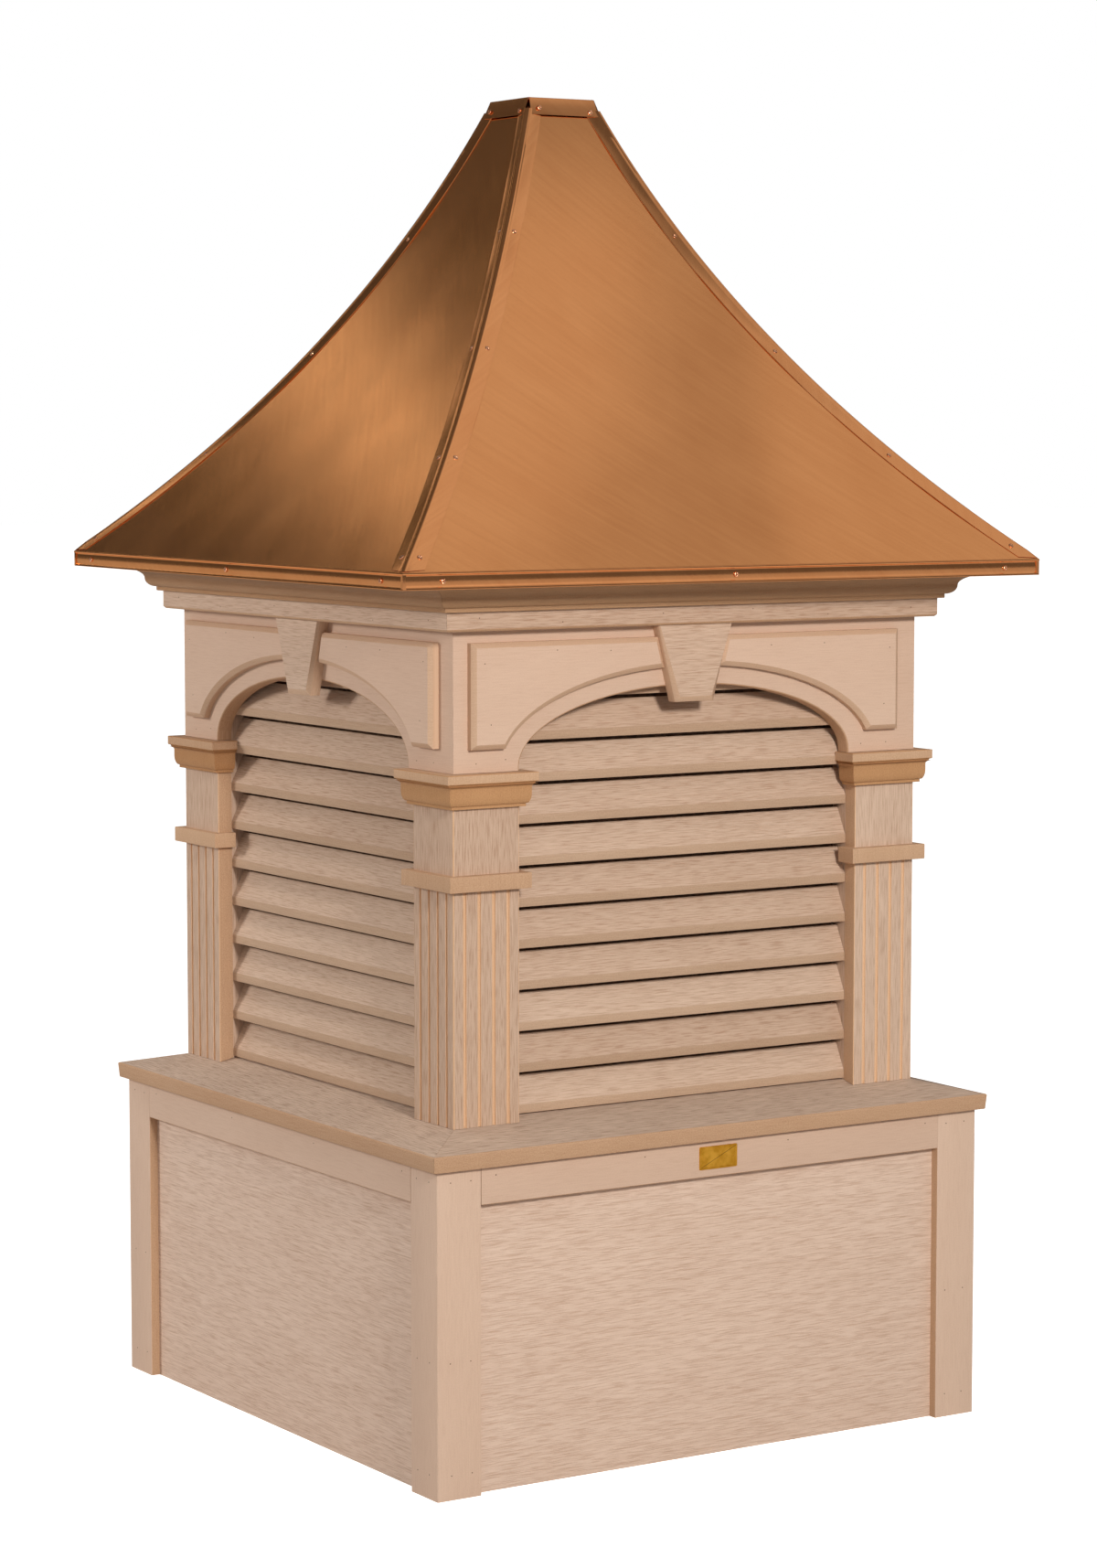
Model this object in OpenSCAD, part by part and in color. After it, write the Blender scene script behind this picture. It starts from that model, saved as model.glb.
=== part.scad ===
// Louvred cupola with four arched sides and a concave copper roof.
// Built up from a boarded base, a mitred sloping sill, four corner pilasters
// with neck bands and capitals, arch boards with keystones, a frieze and
// crown moulding, and a four-sided roof with hip caps and a top collar.
// Units mm, +Z up, front is the -Y side, origin at the centre of the
// bottom edge.

/* [Overall] */
// Width of the base across the corner boards
base_w = 1219; // [1000:1:1500]
// Height of the outer top edge of the sill
base_h = 629; // [450:1:800]
// Height of the louvred stage, from sill edge to top of capitals
stage_h = 669; // [560:1:850]
// Distance the louvred stage stands in from the base on each side
stage_inset = 89.5; // [75:0.5:110]

/* [Base] */
// Width of the corner boards seen from each side
corner_board_w = 92; // [60:1:130]
// Thickness of the corner boards and rails
board_t = 18; // [15:0.5:30]
// Height of the top rail under the sill
rail_h = 72; // [50:1:110]
// Thickness of the recessed wall panels
panel_t = 12; // [9:0.5:20]

/* [Sill] */
// How far the sill stands out past the base
sill_out = 16; // [10:0.5:40]
// Thickness of the sill boards
sill_t = 30; // [20:0.5:40]
// Slope of the sill away from the wall
sill_slope = 12.9; // [8:0.1:20]

/* [Pilasters] */
// Face width of each corner pilaster
pilaster_w = 140; // [110:1:180]
// Thickness of the pilaster boards
pilaster_t = 30; // [22:0.5:40]
// Width of each flute
flute_w = 6; // [4:0.5:10]
// Depth of each flute
flute_d = 2.5; // [2:0.5:8]
// Spacing of the flutes
flute_pitch = 30.7; // [24:0.1:34]
// Height of the neck band above the sill edge
neck_rise = 456.5; // [380:0.5:520]
// Height of the neck band
neck_h = 29; // [20:1:40]
// How far the neck band stands out
neck_out = 16.5; // [12:0.5:26]

/* [Capitals] */
// Height of the square slab of the capital
abacus_h = 21.2; // [15:0.1:30]
// How far the slab stands out
abacus_out = 26; // [20:0.5:40]
// Height of the curved moulding under the slab
echinus_h = 42; // [30:0.5:60]

/* [Louvres] */
// Vertical spacing of the blades
louvre_pitch = 76.2; // [60:0.1:95]
// Angle of the blades from level
louvre_angle = 64; // [56:1:68]
// Thickness of the blades
louvre_t = 15; // [14:0.5:20]
// Height of the cut lower edge of each blade
louvre_nose = 15.2; // [12:0.2:20]
// Width of each blade across its slope
louvre_w = 59; // [50:1:95]
// Thickness of the side frames that hold the blades
frame_t = 19; // [12:0.5:30]

/* [Arches] */
// How far the arch opening stands in from the pilasters
arch_in = 9.5; // [0:0.5:15]
// Distance each arch is set left of the middle, as the corner boards lap
arch_shift = 9.5; // [0:0.5:15]
// Rise of the curved part of the arch
arch_rise = 137; // [100:1:170]
// Height of the straight part below the curve
arch_stilt = 7; // [0:1:30]
// Thickness of the arch boards
arch_t = 30; // [22:0.5:40]
// Height of the frieze underside above the top of the capitals
arch_h = 257; // [230:1:320]
// Thickness of the raised spandrel panels
spandrel_t = 18; // [9:0.5:24]
// Distance of the spandrel panels in from the corner
spandrel_in = 40; // [20:0.5:45]
// Height of the spandrel foot above the top of the capitals
spandrel_foot = 43; // [25:1:60]
// Distance of the spandrel panels below the frieze
spandrel_top = 22; // [12:1:40]
// Width of the bare arch band at the foot of the spandrel curve
band_side = 45; // [20:1:60]
// Width of the bare arch band at its crown
band_top = 36; // [20:1:45]
// Width of the keystone at its top
key_top = 161; // [120:1:200]
// Width of the keystone at its bottom
key_bottom = 86; // [60:1:110]
// How far the keystone hangs below the arch curve
key_drop = 30; // [15:1:50]
// Projection of the keystone from the arch board
key_t = 26; // [20:0.5:34]

/* [Frieze and crown] */
// Height of the frieze
frieze_h = 35.4; // [25:0.1:60]
// How far the frieze stands out from the arch board
frieze_out = 31; // [30:0.5:50]
// Height of the crown moulding
crown_h = 60; // [50:0.5:80]
// How far the crown moulding stands out from the arch board
crown_out = 104; // [90:0.5:130]
// Clearance left in the mitres of the frieze and crown
mitre_gap = 0.3; // [0.2:0.1:1]

/* [Roof] */
// Overhang of the eave past the arch boards
eave_out = 170; // [150:1:220]
// Thickness of the soffit boards
soffit_t = 18; // [12:0.5:25]
// Height of the copper drip edge
drip_h = 31.1; // [24:0.1:45]
// Height of the curved roof from eave to top
roof_h = 877; // [720:1:1080]
// Half width of the roof at its flat top
roof_top = 70; // [60:1:95]
// Radius of the hollow sweep of the roof
roof_curve = 2407; // [1800:1:3600]
// Thickness of the copper-clad roof boards
roof_t = 12; // [8:0.5:20]
// Angle the roof sits turned on the stage
roof_turn = -1.75; // [-3:0.25:3]
// Thickness of the copper trim
copper_t = 3; // [1:0.25:4]
// Width of the hip caps at the eave, measured along it
hip_low = 42; // [25:1:60]
// Width of the hip caps at the collar, measured level
hip_high = 31; // [20:1:40]
// Height of the top collar
collar_h = 31; // [24:0.5:60]
// Gap at the foot of the collar corners
collar_gap = 10; // [4:0.5:16]

/* [Name plate] */
// Width of the blank plate
plate_w = 85; // [50:1:120]
// Height of the blank plate
plate_h = 43; // [30:1:48]
// Thickness of the plate
plate_t = 2; // [1:0.5:3]

/* [Hidden] */
base_half = base_w / 2;
body_half = base_half - stage_inset;
sill_half = base_half + sill_out;
slope = tan(sill_slope);
sill_lean = 2.5;
sill_back = 60;

// heights
stage_top = base_h + stage_h;
frieze_z = stage_top + arch_h;
crown_z = frieze_z + frieze_h;
soffit_z = crown_z + crown_h;
eave_z = soffit_z + soffit_t;
roof_z = eave_z + roof_h;
top_z = roof_z + copper_t;
under_edge = base_h - sill_t;

// louvre opening
open_half = body_half - pilaster_w;
arch_half = open_half - arch_in;
nose_half = body_half - max(pilaster_t, arch_t);
frame_d = 78;
nose_run = louvre_t * sin(louvre_angle)
    - (louvre_nose - louvre_t * cos(louvre_angle)) / tan(louvre_angle);
blade_gap = 2;
first_blade = sill_top(nose_half - nose_run) + blade_gap;
spring_z = stage_top + arch_stilt;
arch_crown = spring_z + arch_rise;
blade_rise = louvre_nose + louvre_w * sin(louvre_angle);
blades = ceil((arch_crown - first_blade - blade_rise) / louvre_pitch) + 1;
frame_top = first_blade + (blades - 1) * louvre_pitch + blade_rise + 8;

// roof curve centre, on the outer side of the line from eave to collar
eave_half = body_half + eave_out;
chord_x = eave_half - roof_top;
chord = sqrt(chord_x * chord_x + roof_h * roof_h);
sag = sqrt(roof_curve * roof_curve - chord * chord / 4);
curve_x = (eave_half + roof_top) / 2 + sag * roof_h / chord;
curve_z = (eave_z + roof_z) / 2 + sag * chord_x / chord;
angle_low = atan2(eave_z - curve_z, eave_half - curve_x);
angle_high = atan2(roof_z - curve_z, roof_top - curve_x);
roof_steps = 22;

board_color = [0.84, 0.70, 0.58];
edge_color = [0.80, 0.64, 0.46];
copper_color = [0.76, 0.48, 0.30];
brass_color = [0.80, 0.62, 0.25];

// Height of the sill surface at a distance from the centre
function sill_top(d) = base_h + (sill_half - d) * slope;

// Points along the roof curve, moved inward by a depth
function roof_line(depth) = [for (i = [0 : roof_steps])
    let (a = angle_low + (angle_high - angle_low) * i / roof_steps)
    [curve_x + (roof_curve + depth) * cos(a),
     curve_z + (roof_curve + depth) * sin(a)]];

// Points along part of an ellipse of half width w and half height h
function arc_pt(a, b, steps, w, h, x0, z0) = [for (i = [0 : steps])
    let (t = a + (b - a) * i / steps) [x0 + w * cos(t), z0 + h * sin(t)]];

function flip(p) = [for (i = [len(p) - 1 : -1 : 0]) p[i]];

// Half width of the keystone at a height
key_high_z = frieze_z;
key_low_z = arch_crown - key_drop;
function key_half(z) = (key_bottom + (key_top - key_bottom)
    * (z - key_low_z) / (key_high_z - key_low_z)) / 2;

// Side number 0 front, 1 right, 2 back, 3 left
module side(n) { rotate([0, 0, 90 * n]) children(); }

// Run of a section given as [distance from centre, height], front side
module run(section, half) {
    translate([-half, 0, 0])
        rotate([90, 0, 90])
            linear_extrude(height = 2 * half)
                polygon([for (q = flip(section)) [-q[0], q[1]]]);
}

// Wedge between two vertical planes through the corners of the front side
module wedge(reach, gap, low, high) {
    translate([0, 0, low])
        linear_extrude(height = high - low)
            polygon([[0, -gap], [reach, -reach - gap], [-reach, -reach - gap]]);
}

// Flat sheet standing on the front side from y = -(d+t) to y = -d
module sheet(outline, d, t) {
    translate([0, -d, 0])
        rotate([90, 0, 0])
            linear_extrude(height = t)
                polygon(outline);
}

// ---- base ---------------------------------------------------------------
module base_panel(n) {
    d = base_half - board_t;
    color(board_color) side(n)
        intersection() {
            run([[d, 0], [d, under_edge + (sill_half - d) * slope],
                 [d - panel_t, under_edge + (sill_half - d + panel_t) * slope],
                 [d - panel_t, 0]], d);
            wedge(base_half, 0, -1, base_h + 60);
        }
}

module base_corner(n) {
    b = base_half;
    w = corner_board_w;
    color(board_color) side(n)
        linear_extrude(height = under_edge + (sill_half - b) * slope)
            polygon([[-b, -b], [-b + w, -b], [-b + w, -b + board_t],
                [-b + board_t, -b + board_t], [-b + board_t, -b + w],
                [-b, -b + w]]);
}

module base_rails() {
    b = base_half;
    top = under_edge + (sill_half - b) * slope;
    color(board_color) for (n = [0 : 3]) side(n)
        run([[b, top - rail_h], [b, top],
             [b - board_t, top + board_t * slope],
             [b - board_t, top - rail_h]], b - corner_board_w);
}

module sill(n) {
    inner = nose_half - sill_back;
    rise = (sill_half - inner) * slope;
    color(board_color) side(n)
        intersection() {
            run([[sill_half - sill_lean, under_edge + sill_lean * slope],
                 [sill_half, base_h],
                 [inner, base_h + rise],
                 [inner, under_edge + rise]], sill_half);
            wedge(sill_half + 5, 0, under_edge - 5, base_h + rise + 5);
        }
}

// ---- corner pilasters -----------------------------------------------------
// Everything under the sloping plane of the front sill
module under_sill() {
    translate([-2 * sill_half, -sill_half, base_h])
        rotate([sill_slope, 0, 0])
            translate([0, 0, -200])
                cube([4 * sill_half, 2 * sill_half, 200]);
}

module pilaster_blank() {
    b = body_half;
    w = pilaster_w;
    t = pilaster_t;
    low = base_h - 20;
    difference() {
        translate([0, 0, low])
            linear_extrude(height = stage_top - low)
                polygon([[-b, -b], [-b + w, -b], [-b + w, -b + t],
                    [-b + t, -b + t], [-b + t, -b + w], [-b, -b + w]]);
        intersection() {
            under_sill();
            mirror([1, -1, 0]) under_sill();
        }
    }
}

module flutes() {
    mid = body_half - pilaster_w / 2;
    low = base_h - 10;
    for (k = [0 : 3])
        translate([-mid + (k - 1.5) * flute_pitch - flute_w / 2,
                   -body_half - 1, low])
            cube([flute_w, flute_d + 1, base_h + neck_rise - low]);
}

module pilaster(n) {
    color(board_color) side(n)
        difference() {
            pilaster_blank();
            flutes();
            mirror([1, -1, 0]) flutes();
        }
}

// L shaped outline standing out by a distance all round the pilaster
module collar_plan(out, h) {
    b = body_half;
    w = pilaster_w;
    linear_extrude(height = h)
        polygon([[-b - out, -b - out], [-b + w + out, -b - out],
            [-b + w + out, -b], [-b, -b], [-b, -b + w + out],
            [-b - out, -b + w + out]]);
}

// Short return of a band on the opening side of the pilaster
module band_return(out, h) {
    b = body_half;
    translate([-b + pilaster_w, -b - 1, 0])
        cube([out, pilaster_t + 1, h]);
}

module neck_band(n) {
    color(edge_color) side(n)
        translate([0, 0, base_h + neck_rise]) {
            collar_plan(neck_out, neck_h);
            band_return(neck_out, neck_h);
            mirror([1, -1, 0]) band_return(neck_out, neck_h);
        }
}

module neck_bands() { for (n = [0 : 3]) neck_band(n); }

// Section of the capital moulding, distance out against height below slab
function echinus() = let (h = echinus_h, o = abacus_out)
    concat([[0, 0]],
           arc_pt(90, 180, 4, o * 0.33, h * 0.14, o * 0.97, -h * 0.14),
           arc_pt(0, -80, 7, o * 0.27, h * 0.45, o * 0.37, -h * 0.42),
           [[o * 0.34, -h * 0.87], [o * 0.34, -h], [0, -h]]);

module capital_run(length) {
    rotate([90, 0, 90])
        linear_extrude(height = length)
            polygon([for (q = echinus()) [-q[0], q[1]]]);
}

module capital(n) {
    color(edge_color) side(n) {
        translate([0, 0, stage_top - abacus_h]) {
            collar_plan(abacus_out, abacus_h);
            band_return(abacus_out, abacus_h);
            mirror([1, -1, 0]) band_return(abacus_out, abacus_h);
        }
        capital_half();
        mirror([1, -1, 0]) capital_half();
    }
}

// Curved moulding along the front face and round the opening side
module capital_half() {
    b = body_half;
    w = pilaster_w;
    o = abacus_out;
    z = stage_top - abacus_h;
    intersection() {
        translate([-b - o, -b, z]) capital_run(w + 2 * o);
        translate([0, 0, z - echinus_h - 1])
            linear_extrude(height = echinus_h + 2)
                polygon([[-b, -b], [-b + w, -b], [-b + w + o, -b - o],
                    [-b - o, -b - o]]);
    }
    intersection() {
        translate([-b + w, -b - o, z])
            rotate([0, 0, 90]) capital_run(pilaster_t + o);
        translate([0, 0, z - echinus_h - 1])
            linear_extrude(height = echinus_h + 2)
                polygon([[-b + w, -b], [-b + w + o, -b - o],
                    [-b + w + o, -b + pilaster_t], [-b + w, -b + pilaster_t]]);
    }
}

module capitals() { for (n = [0 : 3]) capital(n); }

// ---- louvres --------------------------------------------------------------
module louvre_frames() {
    d = nose_half;
    low = base_h;
    color(board_color) for (n = [0 : 3]) side(n)
        for (s = [-1, 1])
            intersection() {
                translate([s > 0 ? open_half : -open_half - frame_t,
                           -d, low])
                    cube([frame_t, frame_d, frame_top - low]);
                run([[d + 5, sill_top(d + 5)], [d + 5, frame_top + 5],
                     [d - frame_d - 5, frame_top + 5],
                     [d - frame_d - 5, sill_top(d - frame_d - 5)]], body_half);
            }
}

module louvres(n) {
    c = cos(louvre_angle);
    s = sin(louvre_angle);
    t = louvre_t;
    h = louvre_nose;
    w = louvre_w;
    color(board_color) side(n)
        for (i = [0 : blades - 1])
            translate([0, 0, first_blade + i * louvre_pitch])
                run([[nose_half, h],
                     [nose_half - w * c, h + w * s],
                     [nose_half - w * c - t * s, h + w * s - t * c],
                     [nose_half - nose_run, 0], [nose_half, 0]], open_half);
}

// ---- arches ---------------------------------------------------------------
module arch_board(n) {
    z0 = stage_top;
    top = soffit_z;
    curve = arc_pt(0, 180, 40, arch_half, arch_rise, -arch_shift, spring_z);
    color(board_color) side(n)
        intersection() {
            sheet(concat([[-body_half, z0], [-body_half, top],
                          [body_half, top], [body_half, z0],
                          [arch_half - arch_shift, z0]],
                         curve, [[-arch_half - arch_shift, z0]]),
                  body_half - arch_t, arch_t);
            wedge(body_half + 5, 0, z0 - 5, top + 5);
        }
}

module spandrels(n) {
    x1 = body_half - spandrel_in;
    z0 = stage_top + spandrel_foot;
    z1 = frieze_z - spandrel_top;
    ea = arch_half + band_side;
    eb = arch_rise + band_top;
    a0 = asin((z0 - spring_z) / eb);
    curve = arc_pt(a0, 90, 24, ea, eb, 0, spring_z);
    color(board_color) side(n) translate([-arch_shift, 0, 0])
        for (m = [0, 1]) mirror([m, 0, 0])
            difference() {
                sheet(concat(curve, [[0, z1], [x1, z1], [x1, z0]]),
                      body_half, spandrel_t);
                sheet([[key_half(z0 - 90), z0 - 90], [-500, z0 - 90],
                       [-500, z1 + 90], [key_half(z1 + 90), z1 + 90]],
                      body_half - 1, spandrel_t + 2);
            }
}

module keystone(n) {
    color(board_color) side(n) translate([-arch_shift, 0, 0])
        sheet([[-key_half(key_low_z), key_low_z],
               [-key_half(key_high_z), key_high_z],
               [key_half(key_high_z), key_high_z],
               [key_half(key_low_z), key_low_z]], body_half, key_t);
}

module keystones() { for (n = [0 : 3]) keystone(n); }

// ---- frieze and crown -------------------------------------------------------
module frieze() {
    b = body_half;
    o = frieze_out;
    color(board_color) for (n = [0 : 3]) side(n)
        intersection() {
            run([[b, frieze_z], [b, crown_z], [b + o, crown_z],
                 [b + o, frieze_z + 4], [b + o - 4, frieze_z]], b + o);
            wedge(b + o + 5, mitre_gap, frieze_z - 5, crown_z + 5);
        }
}

// Section of the crown moulding, distance from centre against height
crown_fillet = frieze_out + 10;
fillet_h = 8;
bead_r = 17;
function crown_section() = let (b = body_half, z = crown_z, h = crown_h,
                                o = crown_out)
    concat([[b, z], [b + crown_fillet, z], [b + crown_fillet, z + fillet_h]],
           arc_pt(-90, 0, 6, bead_r, bead_r, b + crown_fillet + 0.5,
                  z + fillet_h + bead_r),
           arc_pt(180, 90, 8, o - crown_fillet - bead_r - 0.5,
                  h - fillet_h - bead_r - 14, b + o, z + fillet_h + bead_r + 0.1),
           [[b + o, z + h], [b, z + h]]);

module crown() {
    b = body_half;
    o = crown_out;
    color(board_color) for (n = [0 : 3]) side(n)
        intersection() {
            run(crown_section(), b + o);
            wedge(b + o + 5, mitre_gap, crown_z - 5, soffit_z + 5);
        }
}

// ---- roof -------------------------------------------------------------------
module turned() { rotate([0, 0, roof_turn]) children(); }

module soffit() {
    d = eave_half - copper_t;
    inner = body_half - 60;
    color(board_color) turned() for (n = [0 : 3]) side(n)
        intersection() {
            run([[inner, soffit_z], [d, soffit_z], [d, eave_z],
                 [inner, eave_z]], d);
            wedge(d + 5, mitre_gap, soffit_z - 5, eave_z + 5);
        }
}

module drip_edge() {
    d = eave_half;
    color(copper_color) turned() for (n = [0 : 3]) side(n)
        intersection() {
            run([[d - copper_t, eave_z - drip_h], [d, eave_z - drip_h],
                 [d, eave_z], [d - copper_t, eave_z]], d);
            wedge(d + 5, mitre_gap, eave_z - drip_h - 5, eave_z + 5);
        }
}

module roof_panel(n) {
    outer = roof_line(0);
    inner = roof_line(roof_t);
    color(copper_color) turned() side(n)
        intersection() {
            run(concat(outer, flip(inner)), eave_half);
            wedge(eave_half + 5, 0, eave_z, roof_z);
        }
}

module hip_caps() {
    outer = roof_line(-copper_t);
    inner = roof_line(0);
    d = eave_half + copper_t;
    h = roof_top + copper_t;
    color(copper_color) turned() for (n = [0 : 3]) side(n) {
        hip_strip(outer, inner, d, h);
        mirror([1, -1, 0]) hip_strip(outer, inner, d, h);
    }
}

module hip_strip(outer, inner, d, h) {
    slope_x = (hip_low - hip_high) / (d - h);
    lo = h - 40;
    hi = d + 20;
    intersection() {
        run(concat(outer, flip(inner)), d + 5);
        translate([0, 0, eave_z])
            linear_extrude(height = roof_h - collar_h + 12)
                polygon([[-lo, -lo], [-hi, -hi],
                    [-hi + hip_low + slope_x * 20, -hi],
                    [-lo + hip_high - slope_x * 40, -lo]]);
    }
}

// Distance of the roof surface from the centre at a height
function roof_at(z) = curve_x - sqrt(roof_curve * roof_curve
    - (curve_z - z) * (curve_z - z));

module collar() {
    t = copper_t;
    low = roof_z - collar_h;
    a = roof_at(low) + t;
    b = roof_top + t;
    color(copper_color) turned() for (n = [0 : 3]) side(n)
        intersection() {
            run([[a, low], [a + t, low], [b + 0.5, top_z], [b - 1, top_z],
                 [b - 1, roof_z]], a);
            translate([0, a + t, 0]) rotate([90, 0, 0])
                linear_extrude(height = 2 * (a + t))
                    polygon([[-a - t + collar_gap, low], [-b + 1, top_z],
                        [b - 1, top_z], [a + t - collar_gap, low]]);
            wedge(a + 20, mitre_gap, low - 5, top_z + 5);
        }
}

module roof_cap() {
    b = roof_top - 2;
    color(copper_color) turned()
        translate([-b, -b, roof_z])
            cube([2 * b, 2 * b, copper_t]);
}

// ---- plate --------------------------------------------------------------------
module name_plate() {
    z = under_edge + (sill_half - base_half) * slope - (rail_h + plate_h) / 2;
    color(brass_color)
        translate([-plate_w / 2, -base_half - plate_t, z])
            cube([plate_w, plate_t, plate_h]);
}

base_panel(0);  // base_front_panel
base_panel(1);  // base_right_panel
base_panel(2);  // base_back_panel
base_panel(3);  // base_left_panel
base_corner(0);  // corner_board_front_left
base_corner(1);  // corner_board_front_right
base_corner(2);  // corner_board_back_right
base_corner(3);  // corner_board_back_left
base_rails();
sill(0);  // sill_front
sill(1);  // sill_right
sill(2);  // sill_back
sill(3);  // sill_left
pilaster(0);  // pilaster_front_left
pilaster(1);  // pilaster_front_right
pilaster(2);  // pilaster_back_right
pilaster(3);  // pilaster_back_left
neck_bands();
capitals();
louvre_frames();
louvres(0);  // louvres_front
louvres(1);  // louvres_right
louvres(2);  // louvres_back
louvres(3);  // louvres_left
arch_board(0);  // arch_front
arch_board(1);  // arch_right
arch_board(2);  // arch_back
arch_board(3);  // arch_left
spandrels(0);  // spandrels_front
spandrels(1);  // spandrels_right
spandrels(2);  // spandrels_back
spandrels(3);  // spandrels_left
keystones();
frieze();
crown();  // crown_moulding
soffit();
drip_edge();
roof_panel(0);  // roof_front
roof_panel(1);  // roof_right
roof_panel(2);  // roof_back
roof_panel(3);  // roof_left
hip_caps();
collar();  // top_collar
roof_cap();
name_plate();
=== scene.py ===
"""Louvred cupola: boarded base, arched and louvred stage, concave copper roof.

Lengths are metres in the CAD frame: +Z is up, the front is the -Y side and the
origin is under the middle. Side 0 is the front, 1 the right, 2 the back and 3
the left. A piece is worked out for the front side, then turned to the others.
"""

import logging
import math
from dataclasses import dataclass
from enum import Enum
from typing import Iterable, Sequence

import bpy
import numpy as np
from mathutils import Matrix, Vector


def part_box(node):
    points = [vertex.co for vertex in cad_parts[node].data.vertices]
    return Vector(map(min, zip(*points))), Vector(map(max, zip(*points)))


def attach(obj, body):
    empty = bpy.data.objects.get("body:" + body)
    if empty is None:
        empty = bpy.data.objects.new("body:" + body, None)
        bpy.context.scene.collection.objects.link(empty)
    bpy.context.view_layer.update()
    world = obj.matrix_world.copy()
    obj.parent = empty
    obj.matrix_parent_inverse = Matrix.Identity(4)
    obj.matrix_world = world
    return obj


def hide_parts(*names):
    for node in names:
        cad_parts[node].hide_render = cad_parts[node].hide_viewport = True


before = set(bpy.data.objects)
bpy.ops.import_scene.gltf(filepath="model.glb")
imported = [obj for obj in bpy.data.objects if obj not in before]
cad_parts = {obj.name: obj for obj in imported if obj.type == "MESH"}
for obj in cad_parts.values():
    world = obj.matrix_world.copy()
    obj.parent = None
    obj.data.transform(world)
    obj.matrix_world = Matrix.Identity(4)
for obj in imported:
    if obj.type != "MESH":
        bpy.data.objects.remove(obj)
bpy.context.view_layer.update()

LOG = logging.getLogger("cupola")
SIDES = range(4)
QUARTER = math.pi / 2
SIDE_NAMES = ("front", "right", "back", "left")
CORNER_NAMES = ("front_left", "front_right", "back_right", "back_left")
FACE, EDGE, FLUTE = 0, 1, 2
GAP = 0.0003
ALONG_X = np.array([1.0, 0.0, 0.0])
ALONG_Z = np.array([0.0, 0.0, 1.0])


# ---- mesh arrays ------------------------------------------------------------
@dataclass
class Shape:
    """Mesh arrays: points, faces grouped by corner count, grain and slots."""

    points: np.ndarray
    faces: list[np.ndarray]
    grain: list[np.ndarray]
    slots: list[np.ndarray]
    tone: np.ndarray

    def turned(self, angle: float) -> "Shape":
        """The shape turned about +Z by an angle in radians."""
        c, s = math.cos(angle), math.sin(angle)
        spin = np.array([[c, s, 0.0], [-s, c, 0.0], [0.0, 0.0, 1.0]])
        return Shape(self.points @ spin, self.faces, self.grain, self.slots, self.tone)

    def moved(self, x: float = 0.0, z: float = 0.0) -> "Shape":
        """The shape moved sideways and upwards."""
        points = self.points + [x, 0.0, z]
        return Shape(points, self.faces, self.grain, self.slots, self.tone)

    def mirrored(self) -> "Shape":
        """The shape mirrored left to right about the middle."""
        points = self.points * [-1.0, 1.0, 1.0]
        return Shape(points, self.faces, self.grain, self.slots, self.tone).outward()

    def outward(self) -> "Shape":
        """The same closed shape with its faces pointing outwards.

        The enclosed volume is a sixth of the sum of triple products over the
        fan triangles of each face. If it is negative every face is reversed.
        """
        volume = 0.0
        for faces in self.faces:
            p = self.points[faces]
            fans = np.cross(p[:, 1:-1], p[:, 2:])
            volume += float((p[:, :1] * fans).sum())
        if volume < 0.0:
            self.faces = [f[:, ::-1] for f in self.faces]
            self.grain = [g[:, ::-1] for g in self.grain]
        return self

    def varied(self, rng: np.random.Generator, spread: float = 1.0) -> "Shape":
        """The shape with its own place in the grain and its own shade.

        Args:
            rng: Seeded source of the choices.
            spread: Largest shade, as a share of the finish's full variation.

        Returns:
            The changed shape.
        """
        start = rng.uniform(0.0, 9.0, 2)
        tone = np.full(len(self.points), rng.uniform(-spread, spread))
        grain = [g + start for g in self.grain]
        return Shape(self.points, self.faces, grain, self.slots, tone)


def join(shapes: Iterable[Shape]) -> Shape:
    """Gathers shapes into one without merging their points.

    Args:
        shapes: The shapes, in order.

    Returns:
        One shape whose face indices are offset by the points before them.
    """
    parts = list(shapes)
    starts = np.cumsum([0] + [len(s.points) for s in parts[:-1]])
    faces = [f + start for s, start in zip(parts, starts) for f in s.faces]
    return Shape(
        np.concatenate([s.points for s in parts]),
        faces,
        [g for s in parts for g in s.grain],
        [t for s in parts for t in s.slots],
        np.concatenate([s.tone for s in parts]),
    )


def projected(points: np.ndarray, faces: np.ndarray, axis: np.ndarray) -> np.ndarray:
    """Grain coordinates by flat projection onto each face.

    Along the grain is the point's distance along the axis. Across it is the
    distance along the cross product of the face normal and the axis.

    Args:
        points: (n, 3) points.
        faces: (m, k) corner indices.
        axis: Unit direction of the grain.

    Returns:
        (m, k, 2) grain coordinates in metres.
    """
    p = points[faces]
    normal = np.cross(p[:, 1:-1] - p[:, :1], p[:, 2:] - p[:, :1]).sum(1)
    normal /= np.linalg.norm(normal, axis=1, keepdims=True) + 1e-12
    across = np.cross(normal, axis)
    length = np.linalg.norm(across, axis=1, keepdims=True)
    across = np.where(length > 0.2, across / (length + 1e-12), [0.0, 1.0, 0.0])
    return np.stack([p @ axis, np.einsum("mkd,md->mk", p, across)], -1)


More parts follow.
